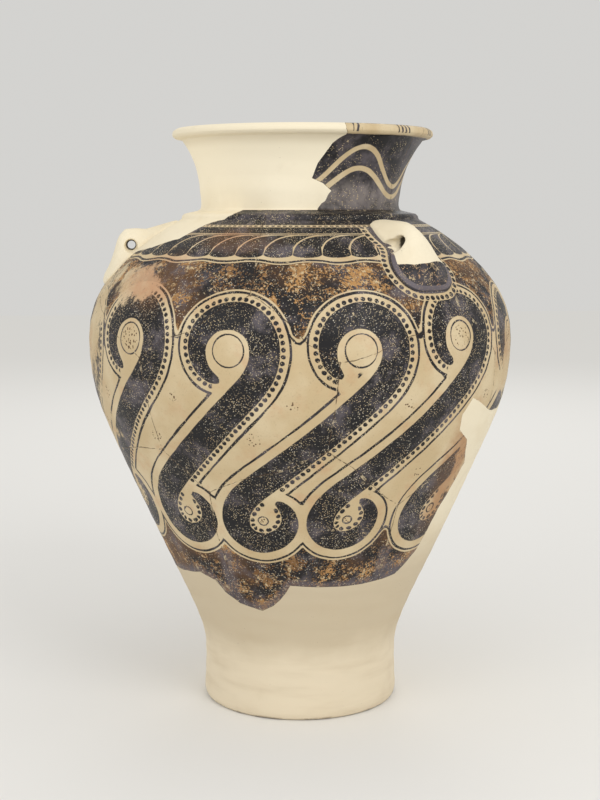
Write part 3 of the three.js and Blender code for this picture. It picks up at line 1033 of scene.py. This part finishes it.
lug_points, lug_along, lug_middles = [], [], []
for side in HANDLE_AZIMUTHS:
    points, along = handle_outline(side)
    longer = (along[-1] + 2 * math.pi * LUG_BEAD_OFF) / along[-1]
    lug_points.append(points)
    lug_along.append(along * longer)
    lug_middles.append(np.repeat(points.mean(axis=0)[None], len(points), axis=0))
lug_points, lug_along, lug_middles = (np.concatenate(facts) for facts in (lug_points, lug_along, lug_middles))
lug_tree = tree_of(lug_points)
print("handle outlines:", len(lug_points), "points")

# %% [markdown]
# Paint, stains and wear are not the same all over. Some places went red or brown in the kiln, some were
# rubbed pale in the ground, and some lost most of their paint. Each such place is an oval on the wall
# with a soft edge.

# %% Places of wear
# [kind, azimuth, height, half width, half height, strength]
WORN_PLACES = [
    ("blush", -52, 556, 74, 40, 1.0), ("bare", -60, 552, 58, 34, 0.9), ("blush", -30, 602, 70, 18, 0.9),
    ("bare", -78, 500, 44, 90, 1.0), ("bare", -74, 400, 34, 60, 0.7), ("blush", 46, 330, 44, 110, 1.0),
    ("bare", 50, 345, 30, 90, 0.8), ("bare", 66, 440, 56, 44, 1.0), ("blush", 62, 470, 50, 40, 0.6),
    ("bare", 74, 520, 34, 60, 0.7), ("blush", -4, 560, 80, 20, 0.5), ("bare", 150, 300, 90, 60, 0.8),
    ("blush", 165, 380, 120, 70, 0.7), ("bare", -140, 470, 80, 55, 0.75),
    ("blush", -150, 300, 110, 80, 0.6), ("bare", 100, 500, 50, 40, 0.6),
]
FADE = 1.35


def worn(kind, points):
    """How much a wall point belongs to the places of this kind, from 0 to 1."""
    amount = np.zeros(len(points))
    for _, azimuth, height, wide, tall, strength in (place for place in WORN_PLACES if place[0] == kind):
        turn = math.radians(azimuth)
        centre = wall_place(azimuth, wall_run(height))
        across = (points - centre) @ np.array([math.cos(turn), math.sin(turn), 0])
        back = points @ np.array([math.sin(turn), -math.cos(turn), 0]) < 0
        away = np.hypot(across / wide, (points[:, 2] - height) / tall)
        amount = np.maximum(amount, strength * np.clip(FADE - away, 0, 1) * ~back)
    return amount


print("places of wear:", len(WORN_PLACES))

# %% [markdown]
# Every corner of the dressed wall now learns where it lies in the painting: how far from the nearest
# band, which side of it, how far along the beads, and the same for discs and handles. These numbers
# change slowly, so the small quads carry them exactly enough, and the material draws sharp strokes from
# them at any size of picture.

# %% Where each place lies in the painting


def put(mesh, name, values, domain="POINT"):
    attribute = mesh.attributes.new(name, "FLOAT", domain)
    attribute.data.foreach_set("value", np.ascontiguousarray(values, dtype=np.float32))


def nearest_band(points):
    """The scroll point whose edge is nearest to each place, how far it is, and how far its edge is."""
    broad_near, broad_far = nearest(broad_tree, points)
    narrow_near, narrow_far = nearest(narrow_tree, points)
    broad_near, narrow_near = broad[broad_near], narrow[narrow_near]
    tapered = narrow_far - scroll_half[narrow_near] < broad_far - scroll_half[broad_near]
    near = np.where(tapered, narrow_near, broad_near)
    far = np.where(tapered, narrow_far, broad_far)
    return near, far, far - scroll_half[near]


def painting_facts(points):
    """Where each place of the wall lies in the painting."""
    near, far, edge = nearest_band(points)
    side = np.einsum("ij,ij->i", points - scroll_points[near], scroll_left[near])
    left = np.where(side > 0, far, -far)
    disc, disc_far = nearest(disc_tree, points)
    lug, lug_far = nearest(lug_tree, points)
    from_middle = np.linalg.norm(points - lug_middles[lug], axis=1)
    outside = from_middle > np.linalg.norm(lug_points[lug] - lug_middles[lug], axis=1)
    return dict(
        band_edge=edge, band_left=left, curl=left * scroll_bend[near], bead_run=scroll_beads[near],
        mouth=nearest(mouth_tree, points)[1],
        disc_edge=disc_far - disc_radius[disc], disc_share=disc_far / disc_radius[disc],
        disc_kind=disc_kind[disc],
        lug_edge=np.where(outside, lug_far, -lug_far), lug_run=lug_along[lug],
    )


belly_front = wall_place(np.array([0.0]), np.array([wall_run(FIELD_MIDDLE)]))
for fact, values in painting_facts(belly_front).items():
    print("at the front of the belly,", fact, "is", round(float(values[0]), 2))

# %% [markdown]
# Joints gather dirt, and paint chips along a break. So each corner also learns how far it is from the
# nearest break of its own piece, and on a handle how deep it lies in the hole, where the plaster is
# darkened with painted shade and dirt. The plaster and the neck have no scrolls, so they do without the
# facts of the painting.

# %% Joints, holes and wear for every piece


def joint_distance(mesh, kinds, co):
    """The distance of each corner from the nearest break of its own piece, seen on the outside."""
    outer = set()
    broken = set()
    for i, face in enumerate(mesh.polygons):
        if kinds[i] == OUTER:
            outer.update(face.edge_keys)
        elif kinds[i] == BROKEN:
            broken.update(face.edge_keys)
    rim = [(co[a] + co[b]) / 2 for a, b in outer & broken] + [co[a] for a, _ in outer & broken]
    return nearest(tree_of(np.array(rim)), co)[1]


def lay_out(name):
    mesh = pieces[name].data
    kinds, run = wall_facts[name]
    co = coordinates(mesh)
    on_skin = wall_place(np.degrees(np.arctan2(co[:, 0], -co[:, 1])), run)
    put(mesh, "outside", kinds == OUTER, "FACE")
    facts = dict(run=run, bare=worn("bare", on_skin), blush=worn("blush", on_skin))
    facts["joint"] = joint_distance(mesh, kinds, co)
    if name not in plaster_names and not name.startswith("neck"):
        facts.update(painting_facts(on_skin))
    for fact, values in facts.items():
        put(mesh, fact, values)


def lay_out_handle(name):
    """On a handle: the distance inside its painted border, and how deep a place lies in its hole, for painted
    shade and dirt.
    """
    mesh = pieces[name].data
    co = coordinates(mesh)
    put(mesh, "lug_edge", -nearest(lug_tree, co)[1])
    side = name.split("_")[1]
    turn = math.radians(HANDLE_AZIMUTHS[side] + FRONT_TURN)
    radius, height = HOLE_PLACES[side]
    away = co - (radius * math.sin(turn), -radius * math.cos(turn), height)
    along = away @ np.array([math.cos(turn), math.sin(turn), 0])
    across = np.sqrt(np.maximum(np.sum(away * away, axis=1) - along * along, 0))
    from_hole = np.hypot(across, along * HOLE_DEPTH_SHARE)
    # Painted shade and dirt in the hole of each handle, strongest at its middle.
    put(mesh, "hole_shade_and_dirt", np.clip((HOLE_SHADE_REACH - from_hole) / HOLE_SHADE_FADE, 0, 1))


for name in wall_names:
    lay_out(name)
for name in HANDLES:
    lay_out_handle(name)
print("attributes of a sherd:", len(pieces["belly_sherd_1"].data.attributes))

# %% [markdown]
# The ground is a fine buff clay. The paint is an iron wash that fired nearly black, and where it was
# thin it fired brown or purple-grey. The colours are named once, as the eye sees them in plain daylight,
# because the sherds, the neck and the handles were all painted from the same pots of wash.

# %% Colours of the clay and the paint
BUFF = (201, 179, 140)
BUFF_PALE = (215, 197, 162)
BUFF_WARM = (196, 150, 110)
BLUSH = (192, 142, 108)
BLUSH_RUST = (166, 114, 68)
RAW_DARK = (176, 140, 102)
RAW_PALE = (196, 164, 124)
INK = (33, 32, 34)
INK_GREY = (104, 97, 102)
# A pale grey for the painted highlight on the dark wash low on the neck.
INK_SHEEN = (148, 139, 134)
INK_BROWN = (92, 66, 44)
OCHRE = (178, 134, 82)
OCHRE_DARK = (122, 88, 54)
SALT = (219, 210, 190)
SOIL = (70, 54, 40)
print("the ink reflects", round(linear(INK)[1], 3), "of the light, the clay", round(linear(BUFF)[1], 3))

# %% [markdown]
# More than three thousand years have worked on all of this paint alike: pin-sized flakes and larger
# chips are gone from it, soil sits in the pores and the joints, and the joints are ragged. Inside the
# jar and in its breaks the clay is raw. Each of these is a short helper, so that the sherds and the neck
# wear in the same way. Noise does it rather than painting by hand, because nobody would copy wear spot
# by spot.

# %% Wear and body of the painted clay
CHIP_SIZE = 6.5
PORE_SIZE = 2.2


def chips_in(f, size=CHIP_SIZE, low=0.64, high=0.68):
    """1 where a larger chip of paint is gone."""
    return f.rise(f.grain(size, 4, 0.75, lift=0.4), low, high)


def lost_paint(f, flakes, chips):
    return f.most(flakes * 0.9, chips * 0.85)


def pores_in(f, ground, pores):
    return f.mix(f.rise(pores, 0.55, 0.8) * 0.22, ground, SOIL)


def ragged_joint(f):
    """The distance from the nearest joint in millimetres, as uneven as a real break."""
    return f.attribute("joint") + (f.grain(3, 2, lift=1.7) - 0.5) * 1.2


def over_raw_clay(f, colour):
    """The painted colour on the outside only, and raw clay in the breaks and inside."""
    raw = f.mix(f.rise(f.grain(20, 4, 0.6), 0.35, 0.7), RAW_DARK, RAW_PALE)
    return f.mix(f.attribute("outside"), raw, colour)


def burnished(f, colour, ink, relief):
    """Closes a finish of burnished clay, a little smoother and higher where the wash lies."""
    height = f.grain(9, 3, 0.5) * 0.16 + relief + ink * 0.05
    return f.close(colour, 0.46 + f.grain(30, 2) * 0.16 - ink * 0.1, height)


print("chips of about", CHIP_SIZE, "mm, pores of about", PORE_SIZE, "mm")

# %% [markdown]
# In the main field the brush laid the bands first and then beads and a thin contour line beside them.
# Rockwork fills what is left above and below, with rounded corners and a line round it. All of it hangs
# on one number, the distance from the edge of the nearest band, so that lines and beads follow each coil
# as they would follow a hand.

# %% Paint of the main field
CONTOUR = 12.0
CONTOUR_HALF = 1.5
BEAD_PITCH = 8.0
BEAD_RADIUS = 2.8
BEAD_SOFT = 0.35
ROCK_FROM = 15.8
ROCK_MARGIN = 122.0
ROCK_ROUND = 12.0


def bead_string(f, along, across, pitch, radius):
    """Round beads, from the way along their string and the distance off it, in millimetres."""
    step = (f.cycle(along / pitch) - 0.5) * pitch
    return f.fall(f.reach(step, across), radius - BEAD_SOFT, radius + BEAD_SOFT)


def disc_paint(f, edge, disc, kind):
    """The ring round a reserved disc, and the stipple that some discs hold."""
    ring = f.stroke(disc, 0.0, f.grain(30, 2, lift=4.0) * 1.8, 0.4) * f.fall(kind, 1.4, 1.6)
    share = f.attribute("disc_share") + (f.grain(9, 3) - 0.5) * 0.5
    dots = f.specks(3.4, 0.26, 0.36, f.grain(7, 2, lift=3.3), 0.30, 0.40)
    return ring * f.rise(edge, 1.0, 2.0), dots * f.fall(share, 0.70, 0.80) * f.rise(kind, 0.4, 0.6)


def field_paint(f, run, shake):
    """Bands, beads, lines and rings as ink, then the stipple, then the rockwork."""
    edge = f.attribute("band_edge") + shake * 1.4
    disc = f.attribute("disc_edge") + shake * 0.8
    kind = f.attribute("disc_kind")
    ring, stipple = disc_paint(f, edge, disc, kind)
    band = f.fall(edge, -0.4, 0.4)
    beads = bead_string(f, f.attribute("bead_run"), edge - BEAD_OFF, BEAD_PITCH, BEAD_RADIUS)
    beads = beads * f.fall(f.attribute("band_left"), -0.5, 0.5)
    calm = f.rise(f.attribute("mouth"), 12.5, 14.5)
    thick = f.grain(46, 2, lift=4.0) * 2.2 + (CONTOUR_HALF - 1.1)
    outside_disc = f.rise(disc, 3.0, 4.0)
    free = f.most(outside_disc, f.rise(kind, 1.4, 1.6)) * f.fall(f.attribute("curl"), 0.14, 0.20)
    contour = f.stroke(edge, CONTOUR, thick, 0.4) * free

    from_band = edge - ROCK_FROM
    from_field = f.math("ABSOLUTE", run - wall_run(FIELD_MIDDLE)) + shake * 10 - ROCK_MARGIN
    corner = f.reach(f.most(ROCK_ROUND - from_band, 0.0), f.most(ROCK_ROUND - from_field, 0.0))
    inside = ROCK_ROUND - corner
    rock = f.rise(inside, -0.4, 0.4) * outside_disc
    outline = f.stroke(inside, CONTOUR - ROCK_FROM, thick, 0.4) * outside_disc
    return f.most(band, beads * calm, f.most(contour, outline) * calm, ring), stipple, rock


print("rockwork starts", ROCK_FROM, "mm from a band and", ROCK_MARGIN, "mm from the middle of the field")

# %% [markdown]
# Three borders run round the shoulder: a wavy line where the field ends, a row of overlapping scales,
# and a line of short dashes below the dark collar. They are measured along the wall, upwards from each
# border's own height, so that they keep their width where the shoulder turns flat.

# %% Borders of the shoulder
STRIP_LOW = 583.5
STRIP_WAVES = 21
SCALE_BASE = 588.0
SCALE_RISE = 36.0
SCALES = 39
SCALE_PHASE = -4.7
DASH_HEIGHT = 619.5
DASHES = 150


def scales(f, azimuth, up):
    """How dark each place of the row of scales is, and where its light lines run."""
    cell = f.cycle((azimuth - SCALE_PHASE) * (SCALES / 360) + 0.5)
    lines = []
    for previous, weight in ((0, 1.0), (1, 0.8)):
        left = 1 - f.least((cell + previous) * 0.5, 1.0)
        height = f.most(f.math("SQRT", 1 - f.math("POWER", left, 4.0)), 0.07)
        slope = f.math("POWER", left, 3.0) / height * 1.12
        half = f.math("SQRT", slope * slope + 1) * weight
        lines.append(f.stroke(up, height * SCALE_RISE, half, 0.5))
    belly = f.math("SQRT", f.most(1 - f.math("POWER", cell * 2 - 1, 2.0), 0.0)) * -6.0
    return f.rise(up - belly, -0.5, 0.5), f.most(*lines)


def shoulder_paint(f, run, azimuth, shake):
    """How far the main field reaches, and the ink of the borders above it."""
    wave = f.math("SINE", azimuth * (math.pi / 180 * STRIP_WAVES)) * 1.8
    strip = run - wall_run(STRIP_LOW) + shake * 1.2 + (wave + (f.grain(70, lift=0.2) - 0.5) * 9)
    in_field = f.fall(strip, -8.2, -7.6)
    wavy = f.stroke(strip, -4.6, 1.5, 0.4) * (1 - in_field)

    up = run - wall_run(SCALE_BASE) + shake * 0.8
    dark, light = scales(f, azimuth, up)
    above = f.rise(up, SCALE_RISE - 0.5, SCALE_RISE + 0.5)
    scale_ink = f.most(dark * (1 - light), above) * (1 - f.stroke(up, SCALE_RISE + 2.2, 0.7, 0.3))

    dash_up = run - wall_run(DASH_HEIGHT)
    dashes = f.stroke(dash_up, 0.0, 1.3, 0.3) * f.stroke(f.cycle(azimuth * (DASHES / 360)), 0.5, 0.3, 0.05)
    reserved = f.stroke(dash_up, 0.0, 2.6, 0.3)
    collar = f.rise(dash_up, 2.2, 2.8)
    return in_field, f.most(wavy, scale_ink * (1 - reserved), dashes, collar)


print("scales:", SCALES, " dashes:", DASHES)

# %% [markdown]
# Round each handle the wall carries a grey band and a string of beads on a light ground. They use the
# distance from the outline of the handle, so the same border closes round all three.

# %% Borders of the handles
LUG_BEAD_PITCH = 8.2
LUG_BEAD_RADIUS = 3.05
LUG_BORDER = 11.0
LUG_TOP = 618
WIDER_FROM, WIDER_TO, WIDER = 588, 606, 4.6


def handle_border(f, run, shake):
    """Where a handle's border lies, its ink, and the grey band in it."""
    wider = f.rise(run, wall_run(WIDER_FROM), wall_run(WIDER_TO)) * WIDER
    lug = f.attribute("lug_edge") + shake - wider
    zone = f.fall(lug, LUG_BORDER - 0.6, LUG_BORDER) * f.fall(run, wall_run(LUG_TOP), wall_run(LUG_TOP + 1))
    beads = bead_string(f, f.attribute("lug_run"), lug - LUG_BEAD_OFF, LUG_BEAD_PITCH, LUG_BEAD_RADIUS)
    return zone, f.most(f.fall(lug, 0.8, 1.4), beads), f.fall(lug, 0.4, 1.2) * zone


print("beads round a handle are", LUG_BEAD_PITCH, "mm apart")

# %% [markdown]
# Now the sherds get their colours, from the ground up. The buff ground blushes red in places. Over it
# lies the rockwork, a mottle of ochre and dark wash that went grey along some joints, then the ink, and
# last the pale salts that the soil left. Every layer is mixed over the one below by the share of the
# surface that it still covers.

# %% Painted clay of the sherds


def buff_ground(f, x, clouds, pores, blush):
    ground = f.mix(f.rise(clouds, 0.35, 0.7), BUFF, BUFF_PALE)
    ground = f.mix(f.rise(f.grain(32, 4, 0.6, lift=3.0), 0.5, 0.8) * 0.5, ground, BUFF_WARM)
    blush_colour = f.mix(f.rise(x, -40, 130), BLUSH, BLUSH_RUST)
    return pores_in(f, f.mix(blush * 0.75, ground, blush_colour), pores)


def rock_paint(f, z, clouds, thin):
    """The mottle of the rockwork: ochre, peppered with dark wash."""
    wash = f.mix(f.rise(f.grain(95, 2), 0.42, 0.62), INK, INK_BROWN)
    wash = f.mix(thin * 0.7, wash, INK_GREY)
    ochre = f.mix(f.rise(clouds, 0.35, 0.60), OCHRE_DARK, OCHRE)
    ochre = f.mix(f.rise(f.grain(5, 3, 0.6, lift=8.0), 0.50, 0.66), ochre, BUFF)
    patches = f.grain(24, 4, 0.6, lift=7.0)
    pepper = f.rise(f.grain(2.6, 3, 0.7, lift=2.0) + (patches - 0.5), 0.40, 0.49)
    greyed = f.fall(f.attribute("joint") + (f.grain(14, 3) - 0.5) * 12, 4, 13) * f.fall(z, 225, 240)
    return f.mix(greyed * 0.6, f.mix(pepper, ochre, wash), INK_GREY)


def bare_places(f):
    """How much of the paint is gone in the worn places, with remains of it here and there."""
    blotches = f.grain(34, 6, 0.72, lift=5.0)
    bare = f.rise(f.attribute("bare") + (blotches - 0.5) * 2.4, 0.50, 0.74)
    remains = f.grain(4.5, 4, 0.75, lift=12.0) + (f.grain(30, 3, lift=13.0) - 0.5) * 0.5
    return bare * (1 - f.rise(remains, 0.56, 0.66) * 0.65)


def wall_clay():
    f = Finish("painted clay")
    x, y, z = f.axes()
    azimuth = f.azimuth(x, y)
    run = f.attribute("run")
    shake = f.grain(17) - 0.5
    clouds = f.grain(60, 3, lift=0.7)
    pores = f.grain(PORE_SIZE, 3, 0.6)
    bare = bare_places(f)
    blush = f.rise(f.attribute("blush") + (f.grain(48, 5, 0.65, lift=6.0) - 0.5) * 1.5, 0.25, 1.05)

    # The drawing
    ink, stipple, rock = field_paint(f, run, shake)
    in_field, border = shoulder_paint(f, run, azimuth, shake)
    lug_zone, lug_ink, lug_grey = handle_border(f, run, shake)
    ink = f.most(ink * in_field, border) * (1 - lug_zone) + lug_ink * lug_zone
    rock = rock * in_field * (1 - lug_zone)

    # What wear has left of it
    flakes = f.specks(2.1, 0.18, 0.32, f.grain(26, 3, 0.7), 0.36, 0.60)
    salt = f.specks(3.0, 0.13, 0.24, f.grain(40, 4, 0.7, lift=9.0), 0.36, 0.58, lift=0.7)
    chips = chips_in(f)
    thin = f.rise(f.grain(40, 5, 0.68, lift=1.1), 0.47, 0.68)
    ink = ink * ((1 - bare) * (1 - lost_paint(f, flakes, chips)))

    # The layers of colour
    ground = buff_ground(f, x, clouds, pores, blush)
    rock_left = (1 - bare * 0.85) * (1 - chips * 0.8)
    colour = f.mix(rock * rock_left, ground, rock_paint(f, z, clouds, thin))
    colour = f.mix(stipple * (1 - bare), colour, INK_BROWN)
    ink_colour = f.mix(f.most(thin * 0.75, lug_grey * 0.7), INK, INK_GREY)
    colour = f.mix(ink, colour, f.mix(blush * 0.7, ink_colour, INK_BROWN))
    colour = f.mix(salt * f.most(ink, rock) * (1 - bare) * 0.85, colour, SALT)

    # The joints
    joint = ragged_joint(f)
    hairline = f.fall(joint, 0.25, 0.7)
    chipped = f.fall(joint, 1.2, 2.2) * f.rise(f.grain(14, 3, 0.7, lift=2.6), 0.55, 0.62)
    colour = f.mix(hairline * 0.75, f.mix(chipped * 0.7, colour, BUFF_PALE), SOIL)
    relief = pores * 0.05 - f.most(flakes, chips) * 0.06 - hairline * f.attribute("outside") * 0.35
    return burnished(f, over_raw_clay(f, colour), ink, relief)


clay = wall_clay()
print("painted clay:", len(clay.node_tree.nodes), "nodes")

# %% [markdown]
# The neck and its rim carry two light waves on the dark ground, one above the other, with six crests
# round the neck, and short strokes in groups on the light lip. Low on the neck a pale band over the wash
# is a painted highlight: the sheen of the lamps in the hollow of the neck.
# Both neck sherds share one material, drawn from the place on the neck alone, so the waves run on from
# one sherd to the other.

# %% Painted neck
NECK_WAVES = 6
WAVE_CREST = 25.5
UPPER_WAVE = (690.5, 23)
LOWER_WAVE = (671.5, 17)
WAVE_HALF = 2.9
LIP_LOW = 727.5
LIP_GROUPS = [(17, 2.0), (42, 4.4), (66, 3.2), (84, 4.4)]
LIP_PITCH = 2.3


def neck_drawing(f, azimuth, z, shake):
    """The ink of the neck and its lip, before wear."""
    level = z + shake * 1.6
    turn = (azimuth - WAVE_CREST) * (NECK_WAVES * math.pi / 180)
    crest = f.math("COSINE", turn)
    steep = f.math("POWER", f.math("SINE", turn), 2.0)
    half = (1 + steep * 0.45) * WAVE_HALF
    waves = [f.stroke(level, crest * swing + middle, half, 0.5) for middle, swing in (UPPER_WAVE, LOWER_WAVE)]
    on_lip = f.rise(level, LIP_LOW - 0.4, LIP_LOW + 0.4)
    single = f.stroke(f.cycle((azimuth + shake * 2) * (1 / LIP_PITCH)), 0.5, 0.22, 0.08)
    groups = f.most(*[f.stroke(azimuth, middle, wide, 0.15) for middle, wide in LIP_GROUPS])
    strokes = groups * single * f.rise(z + shake * 3, 730, 731)
    return (1 - f.most(*waves)) * (1 - on_lip) + strokes * on_lip


def neck_clay():
    f = Finish("painted neck")
    x, y, z = f.axes()
    shake = f.grain(17) - 0.5
    flakes = f.specks(2.6, 0.16, 0.30, f.grain(26, 3, 0.7), 0.40, 0.62)
    thin = f.rise(f.grain(40, 4, 0.65, lift=1.1), 0.42, 0.70)
    pores = f.grain(PORE_SIZE, 3, 0.6)
    ink = neck_drawing(f, f.azimuth(x, y), z, shake) * (1 - lost_paint(f, flakes, chips_in(f)))
    ground = pores_in(f, f.mix(f.rise(f.grain(30, 3), 0.35, 0.7), BUFF, BUFF_PALE), pores)
    ink_colour = f.mix(thin * 0.8, INK, INK_GREY)
    # Painted highlight: a pale band low on the neck, where the lamps shine on the dark wash.
    painted_sheen = f.stroke(z + shake * 12, 655, 16, 14) * f.rise(f.grain(20, 4, 0.7, lift=4.0), 0.30, 0.62)
    ink_colour = f.mix(painted_sheen * 0.7, ink_colour, INK_SHEEN)
    colour = f.mix(f.fall(ragged_joint(f), 0.25, 0.8) * 0.7, f.mix(ink, ground, ink_colour), SOIL)
    return burnished(f, over_raw_clay(f, colour), ink, pores * 0.05)


neck_paint = neck_clay()
print("painted neck:", len(neck_paint.node_tree.nodes), "nodes")

# %% [markdown]
# Conservators filled what was lost with plaster, smoothed it flush and toned it a warm cream. It is
# lightest on the neck, where light is painted in. It is matte and nearly even, with faint clouds from the
# sponge and hairline scrapes. Towards the foot and under the swell of the belly it is darker and a little
# grey with painted shade, and hands and floors left dirt on its edge. The holes of the handles are
# darkened with painted shade and dirt.

# %% Plaster
PLASTER_TONE = (238, 227, 201)
# The next colour is painted light on the neck.
PLASTER_NECK_PAINTED_LIGHT = (251, 241, 216)
PLASTER_SHADE = (230, 216, 186)
# The next two colours are painted shade, towards the foot and low on the wall under the belly.
PLASTER_FOOT_PAINTED_SHADE = (227, 213, 187)
PLASTER_UNDER_PAINTED_SHADE = (204, 189, 162)
PLASTER_STREAK = (204, 187, 158)
DIRT = (122, 102, 82)
# Painted shade and dirt inside the holes of the handles.
HOLE_SHADE_SOIL = (44, 36, 30)


def plaster_tone_and_shade(f, z, clouds):
    """The cream tone, with painted light on the neck and painted shade towards the foot and under the belly.
    """
    # Painted light on the neck, then painted shade towards the foot and under the swell of the belly.
    tone = f.mix(f.rise(z, 615, 670) * f.fall(z, 712, 724), PLASTER_TONE, PLASTER_NECK_PAINTED_LIGHT)
    tone = f.mix(f.rise(clouds, 0.4, 0.75) * f.fall(z, 600, 700), tone, PLASTER_SHADE)
    low = z + (clouds - 0.5) * 50
    tone = f.mix(f.fall(low, 60, 280) * 0.9, tone, PLASTER_FOOT_PAINTED_SHADE)
    return f.mix(f.rise(low, 65, 115) * f.fall(low, 175, 270) * 0.85, tone, PLASTER_UNDER_PAINTED_SHADE)


def plaster_finish():
    f = Finish("plaster")
    z = f.axes()[2]
    clouds = f.grain(70, 4, 0.55)
    scrapes = f.grain(120, 3, 0.55, where=f.stretched(1, 1, 6))
    specks = f.specks(7.5, 0.05, 0.09, f.grain(50, 3, 0.6, lift=0.9), 0.5, 0.7)
    smudges = f.rise(f.grain(60, 4, 0.6, lift=5.5), 0.56, 0.80)
    colour = plaster_tone_and_shade(f, z, clouds)
    colour = f.mix(f.rise(scrapes, 0.45, 0.80) * f.fall(z, 150, 330) * 0.5, colour, PLASTER_STREAK)
    colour = f.mix(smudges * 0.35, colour, PLASTER_STREAK)
    colour = f.mix(specks * 0.6, colour, DIRT)
    foot = f.fall(z, 0.5, 5.0) * f.rise(f.grain(24, 4, 0.7, lift=2.2), 0.48, 0.6)
    colour = f.mix(foot * 0.7, colour, DIRT)
    # Painted shade and dirt darken the holes of the handles.
    hole_shade_and_dirt = f.rise(f.attribute("hole_shade_and_dirt") + (f.grain(5, 4, 0.7) - 0.5) * 0.7, 0.15, 0.6)
    colour = f.mix(hole_shade_and_dirt * 0.92, colour, HOLE_SHADE_SOIL)
    height = clouds * 0.3 + scrapes * 0.08 + f.grain(1.6, 2) * 0.03 - specks * 0.1
    return f.close(colour, 0.72 + f.grain(40, 2) * 0.12, height)


plaster = plaster_finish()
print("plaster:", len(plaster.node_tree.nodes), "nodes")

# %% [markdown]
# The back handle and the root of the right one are old clay, painted dark like the ground round them,
# with a grey band and a dark edge where they meet the wall. They stand proud of the jar, so they lost
# more paint than the wall.

# %% Painted handles


def handle_clay():
    f = Finish("painted handle")
    border = f.attribute("lug_edge") + (f.grain(17) - 0.5) * 1.4
    thin = f.rise(f.grain(34, 4, 0.65, lift=1.1), 0.42, 0.68)
    flakes = f.specks(2.4, 0.18, 0.34, f.grain(22, 3, 0.7), 0.34, 0.56)
    band = f.rise(border, -8.6, -7.8)
    ink = 1 - f.most(flakes * 0.9, chips_in(f, 6.0, 0.57, 0.63) * 0.8) * (1 - band * 0.6)
    ink_colour = f.mix(band, f.mix(thin * 0.5, INK, INK_GREY), INK_GREY)
    ink_colour = f.mix(f.rise(border, -3.2, -1.6) * 0.8, ink_colour, INK)
    ground = f.mix(f.rise(f.grain(18, 3), 0.4, 0.7), BUFF, BUFF_WARM)
    height = f.grain(9, 3, 0.5) * 0.2 + f.grain(PORE_SIZE, 3, 0.6) * 0.06 + ink * 0.05
    return f.close(f.mix(ink, ground, ink_colour), 0.5 - ink * 0.08, height)


handle_paint = handle_clay()
print("painted handle:", len(handle_paint.node_tree.nodes), "nodes")

# %% [markdown]
# Every piece is of one material all through, as the real ones are: a sherd is a sherd and a fill is a
# fill. So each mesh gets a single material, and what differs over a piece comes from the numbers laid
# out on it.

# %% Give every piece its finish


def finish_of(name):
    if name in plaster_names or name in PLASTER_HANDLES:
        return plaster
    if name in HANDLES:
        return handle_paint
    return neck_paint if name.startswith("neck") else clay


for name, piece in pieces.items():
    piece.data.materials.append(finish_of(name))
print("materials:", [m.name for m in bpy.data.materials])
